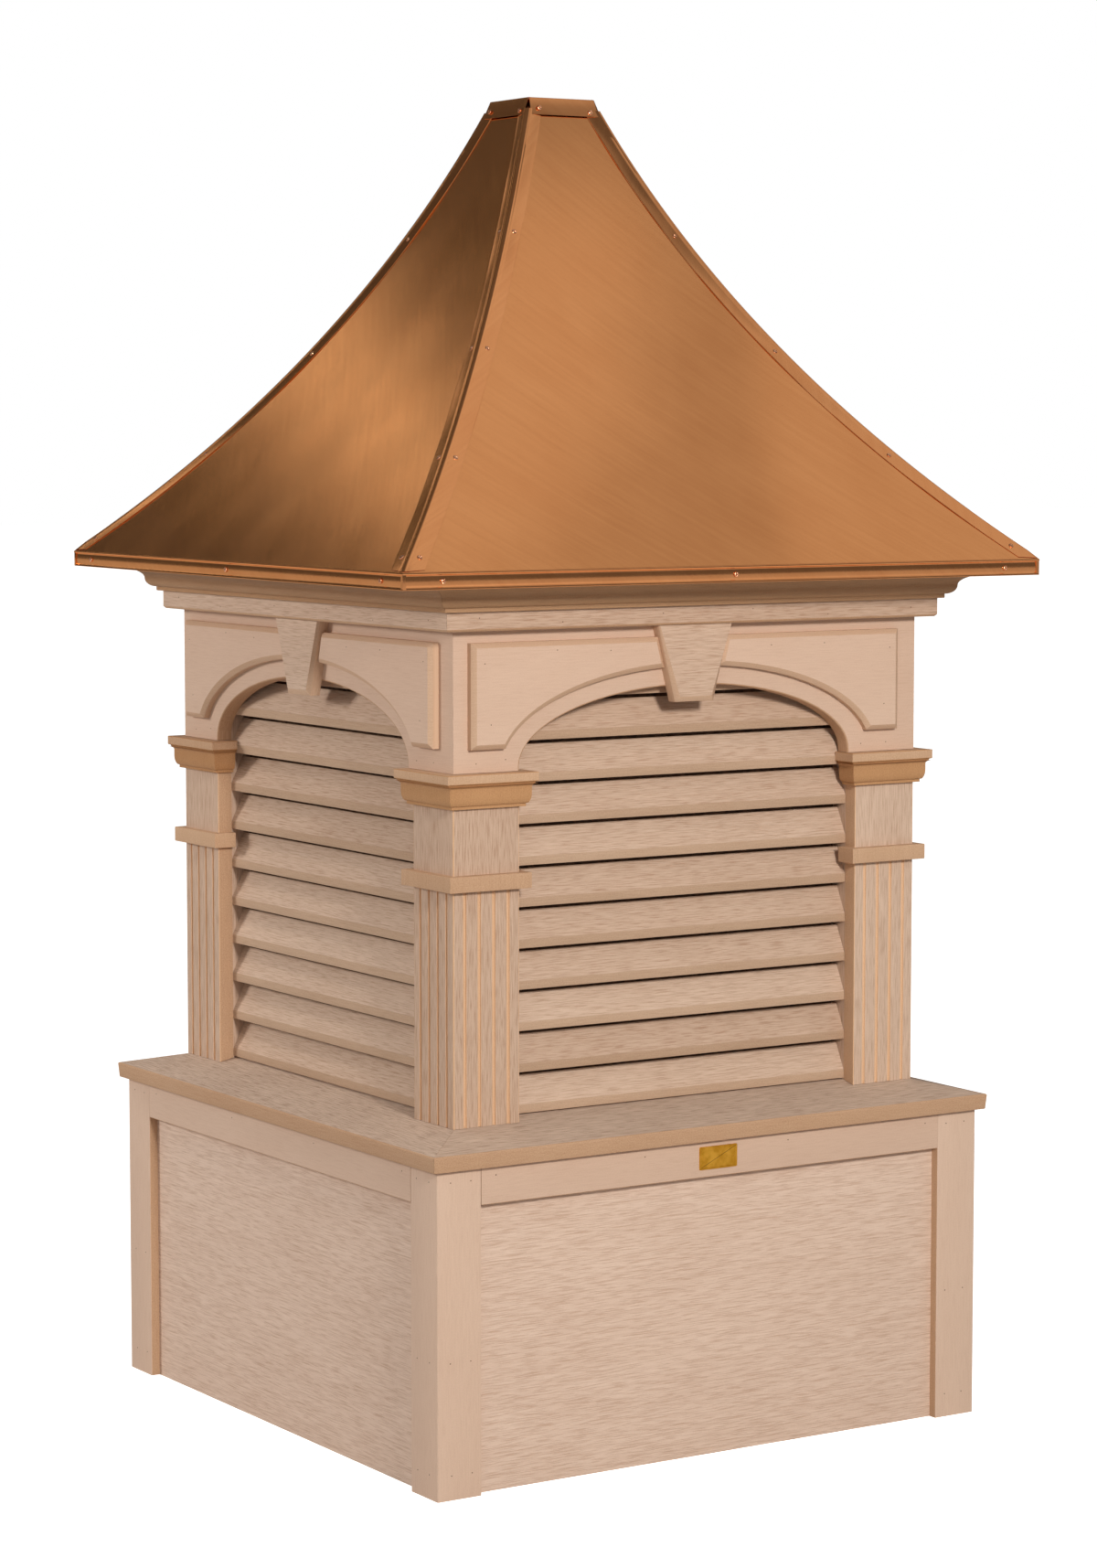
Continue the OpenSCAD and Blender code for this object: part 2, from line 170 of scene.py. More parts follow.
def tube(
    points: np.ndarray,
    slots: np.ndarray | int = FACE,
    grain: np.ndarray | None = None,
    axis: np.ndarray = ALONG_X,
    cap_slot: int = EDGE,
) -> Shape:
    """Closed solid whose rows run round it and whose columns run along it.

    Each grid cell is a quad, the last row joins the first, and the first and
    last columns are closed by one face each.

    Args:
        points: (rows, columns, 3) grid.
        slots: Finish slot of each quad, broadcast to (rows, columns - 1).
        grain: (rows + 1, columns, 2) coordinates, or None for a projection.
        axis: Grain direction where a projection is used.
        cap_slot: Finish slot of the end faces.

    Returns:
        The solid with its faces outwards.
    """
    rows, cols = points.shape[:2]
    i, j = (a.ravel() for a in np.indices((rows, cols - 1)))
    near = np.stack([i, i, i + 1, i + 1], 1)
    far = np.stack([j, j + 1, j + 1, j], 1)
    quads = (near % rows) * cols + far
    flat = points.reshape(-1, 3)
    start = (np.arange(rows) * cols)[None, :]
    end = start[:, ::-1] + cols - 1
    caps = np.concatenate([start, end])
    side_grain = projected(flat, quads, axis) if grain is None else grain[near, far]
    side_slots = np.broadcast_to(slots, (rows, cols - 1))[i, j]
    return Shape(
        flat,
        [quads, caps],
        [side_grain, projected(flat, caps, axis)],
        [side_slots, np.full(2, cap_slot)],
        np.zeros(len(flat)),
    ).outward()


@dataclass
class Outline:
    """Closed loop of points and the finish slot of the edge leaving each."""

    points: np.ndarray
    slots: np.ndarray

    @property
    def lengths(self) -> np.ndarray:
        """Distance round the loop at each point and back at the first."""
        gaps = np.linalg.norm(np.roll(self.points, -1, 0) - self.points, axis=1)
        return np.concatenate([[0.0], np.cumsum(gaps)])


def outline(
    corners: Sequence[Sequence[float]],
    slots: Sequence[int] | int = FACE,
    cut: Sequence[float] | float = 0.0,
    steps: int = 3,
    arris: int = EDGE,
) -> Outline:
    """Loop of straight edges with rounded corners.

    A corner P becomes the quadratic curve (1-t)^2 A + 2t(1-t) P + t^2 C, where
    A and C lie on its two edges at the cut distance from P. Points that fall
    on the next one are dropped.

    Args:
        corners: (n, 2) corner points.
        slots: Finish slot of the edge leaving each corner.
        cut: Distance of the curve's ends from each corner.
        steps: Straight pieces in each curve.
        arris: Finish slot of the rounded corners.

    Returns:
        The rounded loop.
    """
    p = np.asarray(corners, float)
    size = len(p)
    cuts = np.broadcast_to(np.asarray(cut, float), size)[:, None]
    back, ahead = np.roll(p, 1, 0) - p, np.roll(p, -1, 0) - p
    a = p + back / np.linalg.norm(back, axis=1, keepdims=True) * cuts
    c = p + ahead / np.linalg.norm(ahead, axis=1, keepdims=True) * cuts
    t = np.linspace(0.0, 1.0, steps + 1)[None, :, None]
    curve = (1 - t) ** 2 * a[:, None] + 2 * t * (1 - t) * p[:, None] + t**2 * c[:, None]
    points = curve.reshape(-1, 2)
    marks = np.full((size, steps + 1), arris)
    marks[:, -1] = np.broadcast_to(slots, size)
    marks = marks.ravel()
    keep = np.linalg.norm(np.roll(points, -1, 0) - points, axis=1) > 1e-7
    return Outline(points[keep], marks[keep])


def arc(
    start: float, end: float, steps: int, half: tuple[float, float], middle: tuple[float, float]
) -> np.ndarray:
    """Points on an ellipse between two angles in degrees.

    Args:
        start: First angle.
        end: Last angle.
        steps: Straight pieces.
        half: Half width and half height.
        middle: Centre.

    Returns:
        (steps + 1, 2) points.
    """
    t = np.radians(np.linspace(start, end, steps + 1))
    return np.stack([middle[0] + half[0] * np.cos(t), middle[1] + half[1] * np.sin(t)], 1)


def run(section: Outline, reach: np.ndarray | float | None = None, cols: int = 2) -> Shape:
    """Board along the front side from a section of (distance out, height).

    A section point (d, z) gives the points (s * reach, -d, z) for s from -1 to
    1. Without a reach the ends are mitred, so the reach is d less a gap.

    Args:
        section: Closed section.
        reach: Half length at each section point, or None for mitred ends.
        cols: Points along the board.

    Returns:
        The board, with its grain along X.
    """
    d, z = section.points.T
    half = d - GAP if reach is None else np.broadcast_to(reach, d.shape)
    x = half[:, None] * np.linspace(-1.0, 1.0, cols)[None, :]
    flat = np.ones_like(x)
    points = np.stack([x, -d[:, None] * flat, z[:, None] * flat], -1)
    grain = np.stack(
        [np.concatenate([x, x[:1]]), section.lengths[:, None] * np.ones((1, cols))], -1
    )
    return tube(points, section.slots[:, None], grain)


def post(plan: Outline, low: np.ndarray | float, high: np.ndarray | float) -> Shape:
    """Upright solid from a plan outline, between two heights at each point.

    Args:
        plan: Closed (x, y) outline.
        low: Height of the foot at each point.
        high: Height of the top at each point.

    Returns:
        The solid, with its grain upright.
    """
    size = len(plan.points)
    z = np.stack([np.broadcast_to(low, size), np.broadcast_to(high, size)], 1)
    xy = np.repeat(plan.points[:, None], 2, 1)
    grain = np.stack([np.concatenate([z, z[:1]]), np.repeat(plan.lengths[:, None], 2, 1)], -1)
    return tube(np.dstack([xy, z]), plan.slots[:, None], grain, ALONG_Z)


def inset_normals(points: np.ndarray) -> np.ndarray:
    """Mitred inward normals of a loop that runs anticlockwise.

    Each is (n1 + n2) / (1 + n1 . n2), where n1 and n2 are the unit normals on
    the left of the edges that meet at the point.
    """
    ahead = np.roll(points, -1, 0) - points
    ahead /= np.linalg.norm(ahead, axis=1, keepdims=True)
    n2 = np.stack([-ahead[:, 1], ahead[:, 0]], 1)
    n1 = np.roll(n2, 1, 0)
    return (n1 + n2) / (1.0 + (n1 * n2).sum(1, keepdims=True))


def slab(
    face: Outline,
    distance: float,
    levels: Sequence[tuple[float, float]],
    weights: np.ndarray | float = 1.0,
    level_slots: Sequence[int] | None = None,
    cap_slot: int = FACE,
) -> Shape:
    """Flat piece on the front side, stepping out through inset copies.

    Level (inset, out) puts the outline, moved inwards by inset times each
    point's weight, on the plane y = -(distance + out).

    Args:
        face: Anticlockwise (x, z) outline as seen from the front.
        distance: Distance of the back plane from the middle.
        levels: Insets and outward distances, from back to front.
        weights: Share of the inset that each point takes.
        level_slots: Finish slot between levels, or None to use the outline's.
        cap_slot: Finish slot of the front and back faces.

    Returns:
        The closed piece, with its grain along X.
    """
    loop = face.points
    area = loop[:, 0] * np.roll(loop[:, 1], -1) - np.roll(loop[:, 0], -1) * loop[:, 1]
    sign = math.copysign(1.0, float(area.sum()))
    normals = inset_normals(loop) * sign * np.broadcast_to(weights, len(loop))[:, None]
    steps = np.asarray(levels, float)
    flat = loop[:, None] + normals[:, None] * steps[None, :, :1]
    depth = np.broadcast_to(-(distance + steps[:, 1]), flat.shape[:2])
    points = np.stack([flat[..., 0], depth, flat[..., 1]], -1)
    slots = face.slots[:, None] if level_slots is None else np.array(level_slots)[None, :]
    return tube(points, slots, cap_slot=cap_slot)


def moulding(path: Sequence[Sequence[float]], section: Outline) -> Shape:
    """Section carried along a plan path with mitred corners.

    Travelling along the path, the outward normal of a stretch with direction
    (tx, ty) is (ty, -tx). At a corner the two normals are added and divided by
    one plus their dot product, so the section's width is kept.

    Args:
        path: (n, 2) plan points.
        section: Closed (out, height) section.

    Returns:
        The closed moulding.
    """
    line = np.asarray(path, float)
    ahead = np.diff(line, axis=0)
    ahead /= np.linalg.norm(ahead, axis=1, keepdims=True)
    side = np.stack([ahead[:, 1], -ahead[:, 0]], 1)
    n1, n2 = np.vstack([side[:1], side]), np.vstack([side, side[-1:]])
    mitre = (n1 + n2) / (1.0 + (n1 * n2).sum(1, keepdims=True))
    out, z = section.points.T
    xy = line[None] + out[:, None, None] * mitre[None]
    heights = np.broadcast_to(z[:, None, None], (*xy.shape[:2], 1))
    return tube(np.dstack([xy, heights]), section.slots[:, None], axis=ALONG_Z)


def studded(stud: Shape, places: np.ndarray, normals: np.ndarray) -> Shape:
    """Copies of a small shape, each standing on a place along its normal.

    The stud's Z axis goes to the normal, and its other two axes to the unit
    cross products of the normal with a fixed slanting direction.

    Args:
        stud: Shape standing on its own XY plane.
        places: (n, 3) feet of the copies.
        normals: (n, 3) directions.

    Returns:
        All the copies as one shape.
    """
    count, size = len(places), len(stud.points)
    up = normals / np.linalg.norm(normals, axis=1, keepdims=True)
    u = np.cross(up, [0.31, 0.22, 0.93])
    u /= np.linalg.norm(u, axis=1, keepdims=True)
    axes = np.stack([u, np.cross(up, u), up], 1)
    points = places[:, None] + np.einsum("pi,nij->npj", stud.points, axes)
    starts = (np.arange(count) * size)[:, None, None]
    return Shape(
        points.reshape(-1, 3),
        [(f[None] + starts).reshape(-1, f.shape[1]) for f in stud.faces],
        [np.tile(g, (count, 1, 1)) for g in stud.grain],
        [np.tile(s, count) for s in stud.slots],
        np.zeros(count * size),
    )


def front_studs(stud: Shape, x: np.ndarray, distance: np.ndarray | float, z: np.ndarray) -> Shape:
    """Studs on upright faces of the front side, pointing away from it.

    Args:
        stud: Shape standing on its own XY plane.
        x: Sideways places.
        distance: Distances of the faces from the middle.
        z: Heights.

    Returns:
        All the studs as one shape.
    """
    places = np.stack(np.broadcast_arrays(x, -np.asarray(distance), z), 1)
    return studded(stud, places, np.tile([0.0, -1.0, 0.0], (len(places), 1)))


def around(shape: Shape, rng: np.random.Generator | None = None) -> Shape:
    """The shape on all four sides, each with its own grain if rng is given."""
    sides = [shape.turned(n * QUARTER) for n in SIDES]
    return join(s if rng is None else s.varied(rng) for s in sides)


# ---- shader nodes -----------------------------------------------------------
class Value:
    """A number or vector that varies over a surface, with node arithmetic."""

    def __init__(self, graph: "Graph", socket: bpy.types.NodeSocket) -> None:
        """Wraps an output socket of a graph."""
        self.graph, self.socket = graph, socket

    def output(self, index: int) -> "Value":
        """Another output of the same node."""
        return Value(self.graph, self.socket.node.outputs[index])

    def _math(self, operation: str, first: object, second: object) -> "Value":
        """A Math node on two numbers."""
        return self.graph.node("ShaderNodeMath", {"operation": operation}, {0: first, 1: second})

    def __add__(self, other: object) -> "Value":
        """Sum."""
        return self._math("ADD", self, other)

    def __sub__(self, other: object) -> "Value":
        """Difference."""
        return self._math("SUBTRACT", self, other)

    def __rsub__(self, other: object) -> "Value":
        """Difference from a number."""
        return self._math("SUBTRACT", other, self)

    def __mul__(self, other: object) -> "Value":
        """Product."""
        return self._math("MULTIPLY", self, other)

    __radd__ = __add__
    __rmul__ = __mul__


class Lay(Enum):
    """Where a pattern takes its along, across and inward directions from."""

    BY_UV = ()
    LEVEL_X = (0, 2, 1)
    LEVEL_Y = (1, 2, 0)
    UPRIGHT = (2, 0, 1)


class Graph:
    """The node tree of one material or of the surroundings."""

    def __init__(self, owner: bpy.types.Material | bpy.types.World) -> None:
        """Starts an empty node tree for its owner."""
        self.owner = owner
        self.owner.use_nodes = True
        self.tree = owner.node_tree
        self.tree.nodes.clear()

    def node(
        self,
        kind: str,
        settings: dict | None = None,
        inputs: dict | None = None,
        output: int | str = 0,
    ) -> Value:
        """Adds a node and returns one of its outputs.

        Args:
            kind: Blender's node type.
            settings: Properties to set first.
            inputs: Values or links by socket name or index.
            output: The output to return.

        Returns:
            The chosen output.
        """
        made = self.tree.nodes.new(kind)
        for key, value in (settings or {}).items():
            setattr(made, key, value)
        for key, value in (inputs or {}).items():
            if isinstance(value, Value):
                self.tree.links.new(value.socket, made.inputs[key])
            else:
                made.inputs[key].default_value = value
        return Value(self, made.outputs[output] if made.outputs else None)

    def directions(self, lay: Lay) -> Value:
        """Metres along the pattern, across it and inwards."""
        if lay is Lay.BY_UV:
            return self.node("ShaderNodeUVMap", {"uv_map": "grain"})
        place = self.node("ShaderNodeTexCoord", output="Object")
        split = self.node("ShaderNodeSeparateXYZ", inputs={0: place})
        order = {k: split.output(axis) for k, axis in enumerate(lay.value)}
        return self.node("ShaderNodeCombineXYZ", inputs=order)

    def noise(self, place: Value, scale: Sequence[float], detail: float = 2.0) -> Value:
        """Noise around one half, with its own cycles per metre each way."""
        spread = self.node(
            "ShaderNodeVectorMath", {"operation": "MULTIPLY"}, {0: place, 1: tuple(scale)}
        )
        inputs = {"Vector": spread, "Scale": 1.0, "Detail": detail}
        return self.node("ShaderNodeTexNoise", inputs=inputs)

    def step(self, value: Value, low: float, high: float) -> Value:
        """Smooth rise from 0 at low to 1 at high."""
        return self.node(
            "ShaderNodeMapRange",
            {"interpolation_type": "SMOOTHSTEP"},
            {"Value": value, "From Min": low, "From Max": high},
        )

    def tint(self, factor: Value, dark: Sequence[float], light: Sequence[float]) -> Value:
        """Colour between two colours given as display values."""
        return self.node(
            "ShaderNodeMix",
            {"data_type": "RGBA", "clamp_factor": True},
            {0: factor, 6: linear(dark), 7: linear(light)},
            output=2,
        )

    def bump(self, height: Value, distance: float, strength: float) -> Value:
        """Normal of a height pattern of that depth in metres."""
        return self.node(
            "ShaderNodeBump", inputs={"Height": height, "Distance": distance, "Strength": strength}
        )

    def surface(self, inputs: dict) -> bpy.types.Material:
        """Ends the graph with a Principled shader and returns the material."""
        shader = self.node("ShaderNodeBsdfPrincipled", inputs=inputs)
        self.node("ShaderNodeOutputMaterial", inputs={"Surface": shader})
        return self.owner


def linear(colour: Sequence[float]) -> tuple[float, float, float, float]:
    """Linear colour of display values from 0 to 255."""
    v = np.asarray(colour, float) / 255.0
    low, high = v / 12.92, ((v + 0.055) / 1.055) ** 2.4
    return (*np.where(v <= 0.04045, low, high).tolist(), 1.0)


@dataclass(frozen=True)
class BoardFinish:
    """Unpainted composite board with a pressed or planed face."""

    name: str
    light: tuple[float, float, float]
    dark: tuple[float, float, float]
    streak: float
    speckle: float
    blotch: float
    relief: float
    lay: Lay = Lay.BY_UV
    shade: float = 0.16
    middle: float = 0.6

    def material(self) -> bpy.types.Material:
        """Streaks along the grain, fine speckle and soft blotches.

        Returns:
            The finished material.
        """
        g = Graph(bpy.data.materials.new(self.name))
        place = g.directions(self.lay)
        fine = g.noise(place, (26.0, 560.0, 560.0))
        coarse = g.noise(place, (11.0, 300.0, 300.0), 3.0)
        speck = g.noise(place, (380.0, 430.0, 430.0), 1.0)
        cloud = g.noise(place, (4.0, 13.0, 13.0), 3.0)
        tone = g.node("ShaderNodeAttribute", {"attribute_name": "tone"}, output="Fac")
        dash = g.step(fine, 0.34, 0.54)
        grain = dash * 0.65 + g.step(coarse, 0.30, 0.68) * 0.35
        mix = (
            self.middle
            + (grain - 0.62) * self.streak
            + (speck - 0.5) * self.speckle
            + (cloud - 0.5) * self.blotch
            + tone * self.shade
        )
        height = dash * 0.7 + coarse * 0.3 if self.streak > 0.3 else speck * 1.0
        return g.surface(
            {
                "Base Color": g.tint(mix, self.dark, self.light),
                "Roughness": 0.62 + (grain - 0.5) * -0.12,
                "Specular IOR Level": 0.28,
                "Normal": g.bump(height, self.relief, 0.8),
            }
        )


@dataclass(frozen=True)
class CopperFinish:
    """New copper sheet, brushed across at a slant."""

    name: str
    light: tuple[float, float, float]
    dark: tuple[float, float, float]
    rough: float
    brush: float
    grazing: tuple[float, float, float] = (252, 229, 203)
    slant: float = math.radians(45)

    def material(self) -> bpy.types.Material:
        """Fine brush lines, flecks and soft mottling.

        Returns:
            The finished material.
        """
        g = Graph(bpy.data.materials.new(self.name))
        place = g.directions(Lay.BY_UV)
        slanted = {"Vector": place, "Rotation": (0, 0, self.slant)}
        turned = g.node("ShaderNodeMapping", inputs=slanted)
        lines = g.noise(turned, (14.0, 1100.0, 1.0), 3.0)
        strokes = g.noise(turned, (4.0, 90.0, 1.0), 3.0)
        mottle = g.noise(place, (7.0, 5.0, 1.0), 4.0)
        fleck = g.step(g.noise(place, (330.0, 330.0, 1.0), 1.0), 0.66, 0.74)
        brushed = (lines - 0.5) * 0.8 + (strokes - 0.5) * 0.9
        mix = 0.5 + (mottle - 0.5) * 1.1 + brushed - fleck * 0.35
        worn = (lines - 0.5) * 0.08 * self.brush + (mottle - 0.5) * 0.08
        rough = self.rough + worn + fleck * 0.1
        return g.surface(
            {
                "Base Color": g.tint(mix, self.dark, self.light),
                "Specular Tint": linear(self.grazing),
                "Metallic": 1.0,
                "Roughness": rough,
                "Normal": g.bump(lines * 0.6 + strokes * 0.4, 0.0001 * self.brush, 0.5),
            }
        )


@dataclass(frozen=True)
class PlainFinish:
    """Small metal pieces with a fine mottling."""

    name: str
    light: tuple[float, float, float]
    dark: tuple[float, float, float]
    rough: float
    metallic: float

    def material(self) -> bpy.types.Material:
        """Mottled metal.

        Returns:
            The finished material.
        """
        g = Graph(bpy.data.materials.new(self.name))
        place = g.node("ShaderNodeTexCoord", output="Object")
        cloud = g.noise(place, (60.0, 60.0, 60.0), 4.0)
        fine = g.noise(place, (900.0, 90.0, 900.0), 2.0)
        mix = g.step(cloud * 0.7 + fine * 0.3, 0.35, 0.65)
        return g.surface(
            {
                "Base Color": g.tint(mix, self.dark, self.light),
                "Metallic": self.metallic,
                "Roughness": self.rough + (fine - 0.5) * 0.15,
                "Normal": g.bump(fine, 0.00005, 0.4),
            }
        )


class Finishes:
    """All the materials, made once, from pairs of light and dark colours."""

    def __init__(self) -> None:
        """Makes every finish of the cupola."""
        face = ((217, 189, 166), (170, 134, 108))
        panel = ((234, 208, 188), (192, 157, 133))
        smooth = ((226, 197, 174), (197, 162, 138))
        cut = ((212, 176, 143), (168, 124, 90))
        bevel = ((222, 189, 160), (188, 150, 120))
        # Flutes: the cut orange colour, lightened to paint out the shade inside the grooves
        # (painted light).
        lightened_flute = ((232, 194, 157), (202, 158, 120))
        nose = ((203, 172, 145), (160, 127, 100))
        sill = ((216, 191, 170), (163, 135, 115))
        # Crown: the machined moulding's colour, darkened further to paint the shade under the
        # eave.
        crown = ((196, 156, 118), (158, 116, 82))
        rich = ((199, 152, 107), (154, 104, 63))
        sheet = ((241, 167, 108), (224, 149, 93))
        trim = ((244, 170, 112), (228, 150, 94))
        screw = ((250, 190, 150), (214, 146, 106))
        brass = ((232, 174, 66), (202, 142, 38))
        # Screen sheets: dark brown, painting the deep shade seen in the louvre gaps.
        screen = ((126, 97, 76), (88, 66, 52))
        nail = ((110, 76, 52), (66, 42, 28))
        worn = (0.62, 0.22, 0.25, 0.00035)
        planed = (0.22, 0.4, 0.3, 0.00015)
        self.grained = BoardFinish("grained_board", *face, *worn).material()
        self.grained_x = BoardFinish("grained_board_x", *panel, *worn, Lay.LEVEL_X).material()
        self.grained_y = BoardFinish("grained_board_y", *panel, *worn, Lay.LEVEL_Y).material()
        self.upright = BoardFinish("upright_board", *face, *worn, Lay.UPRIGHT).material()
        self.smooth = BoardFinish("smooth_board", *smooth, *planed).material()
        self.cut = BoardFinish("cut_edge", *cut, 0.15, 0.8, 0.3, 0.0002).material()
        self.bevel = BoardFinish("bevelled_edge", *bevel, 0.15, 0.6, 0.3, 0.0002).material()
        self.lightened_flute = BoardFinish("flute_face_painted_light", *lightened_flute, 0.15, 0.6, 0.3, 0.0002).material()
        self.nose = BoardFinish("blade_nose", *nose, 0.2, 0.6, 0.4, 0.0002).material()
        self.crown = BoardFinish("crown_face_painted_shade", *crown, 0.2, 0.7, 0.3, 0.0002).material()
        self.sill = BoardFinish("sill_face", *sill, 0.8, 0.3, 0.35, 0.0003).material()
        self.rich = BoardFinish("machined_moulding", *rich, 0.12, 0.8, 0.3, 0.0002).material()
        self.sheet = CopperFinish("copper_sheet", *sheet, 0.145, 1.0).material()
        self.trim = CopperFinish("copper_trim", *trim, 0.15, 0.6).material()
        self.screw = PlainFinish("copper_screw", *screw, 0.26, 1.0).material()
        self.brass = PlainFinish("brass_plate", *brass, 0.32, 1.0).material()
        self.screen = PlainFinish("screen_mesh_gap_shade", *screen, 0.7, 0.0).material()
        self.nail = PlainFinish("nail_head", *nail, 0.6, 0.0).material()


def build(
    name: str,
    shape: Shape,
    materials: Sequence[bpy.types.Material],
    nodes: Sequence[str] = (),
    sharp: float = 32.0,
) -> bpy.types.Object:
    """Puts a shape into the scene as a piece of the part.

    Args:
        name: The piece's name.
        shape: Its mesh arrays.
        materials: Materials by finish slot.
        nodes: CAD nodes that it stands for.
        sharp: Angle in degrees above which an edge is hard.

    Returns:
        The new object.
    """
    mesh = bpy.data.meshes.new(name)
    faces = [face for group in shape.faces for face in group.tolist()]
    mesh.from_pydata(shape.points.tolist(), [], faces)
    grain = np.concatenate([g.ravel() for g in shape.grain]).astype(np.float32)
    mesh.uv_layers.new(name="grain").data.foreach_set("uv", grain)
    mesh.polygons.foreach_set("material_index", np.concatenate(shape.slots).astype(np.int32))
    mesh.polygons.foreach_set("use_smooth", np.ones(len(mesh.polygons), bool))
    tone = mesh.attributes.new("tone", "FLOAT", "POINT")
    tone.data.foreach_set("value", shape.tone.astype(np.float32))
    mesh.set_sharp_from_angle(angle=math.radians(sharp))
    for material in materials:
        mesh.materials.append(material)
    mesh.update()
    piece = bpy.data.objects.new(name, mesh)
    bpy.context.scene.collection.objects.link(piece)
    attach(piece, "root")
    if nodes:
        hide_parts(*nodes)
    LOG.info("%s: %d faces", name, len(mesh.polygons))
    return piece


def build_four(
    group: str,
    places: Sequence[str],
    ending: str,
    shape: Shape,
    materials: Sequence[bpy.types.Material],
    rng: np.random.Generator,
) -> None:
    """Builds one shape on each side or corner, each for its own CAD node.

    Args:
        group: First words of the nodes' names.
        places: Last words of the nodes' names, from the front round by the right.
        ending: What the piece adds to its node's name.
        shape: The front or front left piece.
        materials: Materials by finish slot.
        rng: Seeded source of each piece's grain and shade.
    """
    for n, place in enumerate(places):
        node = f"{group}_{place}"
        piece = shape.turned(n * QUARTER).varied(rng)
        build(f"{node}_{ending}", piece, materials, [node])


def dress(node: str, material: bpy.types.Material) -> None:
    """Gives a CAD node that stays in view its material."""
    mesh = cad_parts[node].data
    mesh.materials.clear()
    mesh.materials.append(material)
    LOG.info("%s: kept, dressed in %s", node, material.name)


# ---- levels -----------------------------------------------------------------
@dataclass(frozen=True)
class Survey:
    """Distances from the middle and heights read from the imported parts."""

    base_half: float
    body_half: float
    sill_half: float
    sill_in: float
    sill_top: float
    slope: float
    nose_half: float
    open_half: float
    first_blade: float
    neck_low: float
    neck_high: float
    stage_top: float
    frieze_z: float
    crown_z: float
    soffit_z: float
    eave_z: float
    eave_half: float
    roof_z: float
    top_z: float
    turn: float

    @staticmethod
    def read(slope: float, turn: float) -> "Survey":
        """Reads the levels.

        Args:
            slope: Rise of the sill for each metre inwards.
            turn: Angle in radians that the roof sits turned.

        Returns:
            The levels in metres.
        """
        sill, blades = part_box("sill_front"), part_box("louvres_front")
        neck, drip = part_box("neck_bands"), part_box("drip_edge")
        sill_half, sill_in = -sill[0].y, -sill[1].y
        return Survey(
            base_half=-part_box("corner_board_front_left")[0].x,
            body_half=-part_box("arch_front")[0].y,
            sill_half=sill_half,
            sill_in=sill_in,
            sill_top=sill[1].z - (sill_half - sill_in) * slope,
            slope=slope,
            nose_half=-blades[0].y,
            open_half=blades[1].x,
            first_blade=blades[0].z,
            neck_low=neck[0].z,
            neck_high=neck[1].z,
            stage_top=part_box("arch_front")[0].z,
            frieze_z=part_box("frieze")[0].z,
            crown_z=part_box("crown_moulding")[0].z,
            soffit_z=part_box("soffit")[0].z,
            eave_z=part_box("roof_front")[0].z,
            eave_half=drip[1].x / (math.cos(turn) + abs(math.sin(turn))),
            roof_z=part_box("roof_front")[1].z,
            top_z=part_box("roof_cap")[1].z,
            turn=turn,
        )

    def sill_at(self, plan: np.ndarray) -> np.ndarray:
        """Height of the sill's surface: it rises by the slope inwards."""
        return self.sill_top + (self.sill_half - np.abs(plan).max(-1)) * self.slope


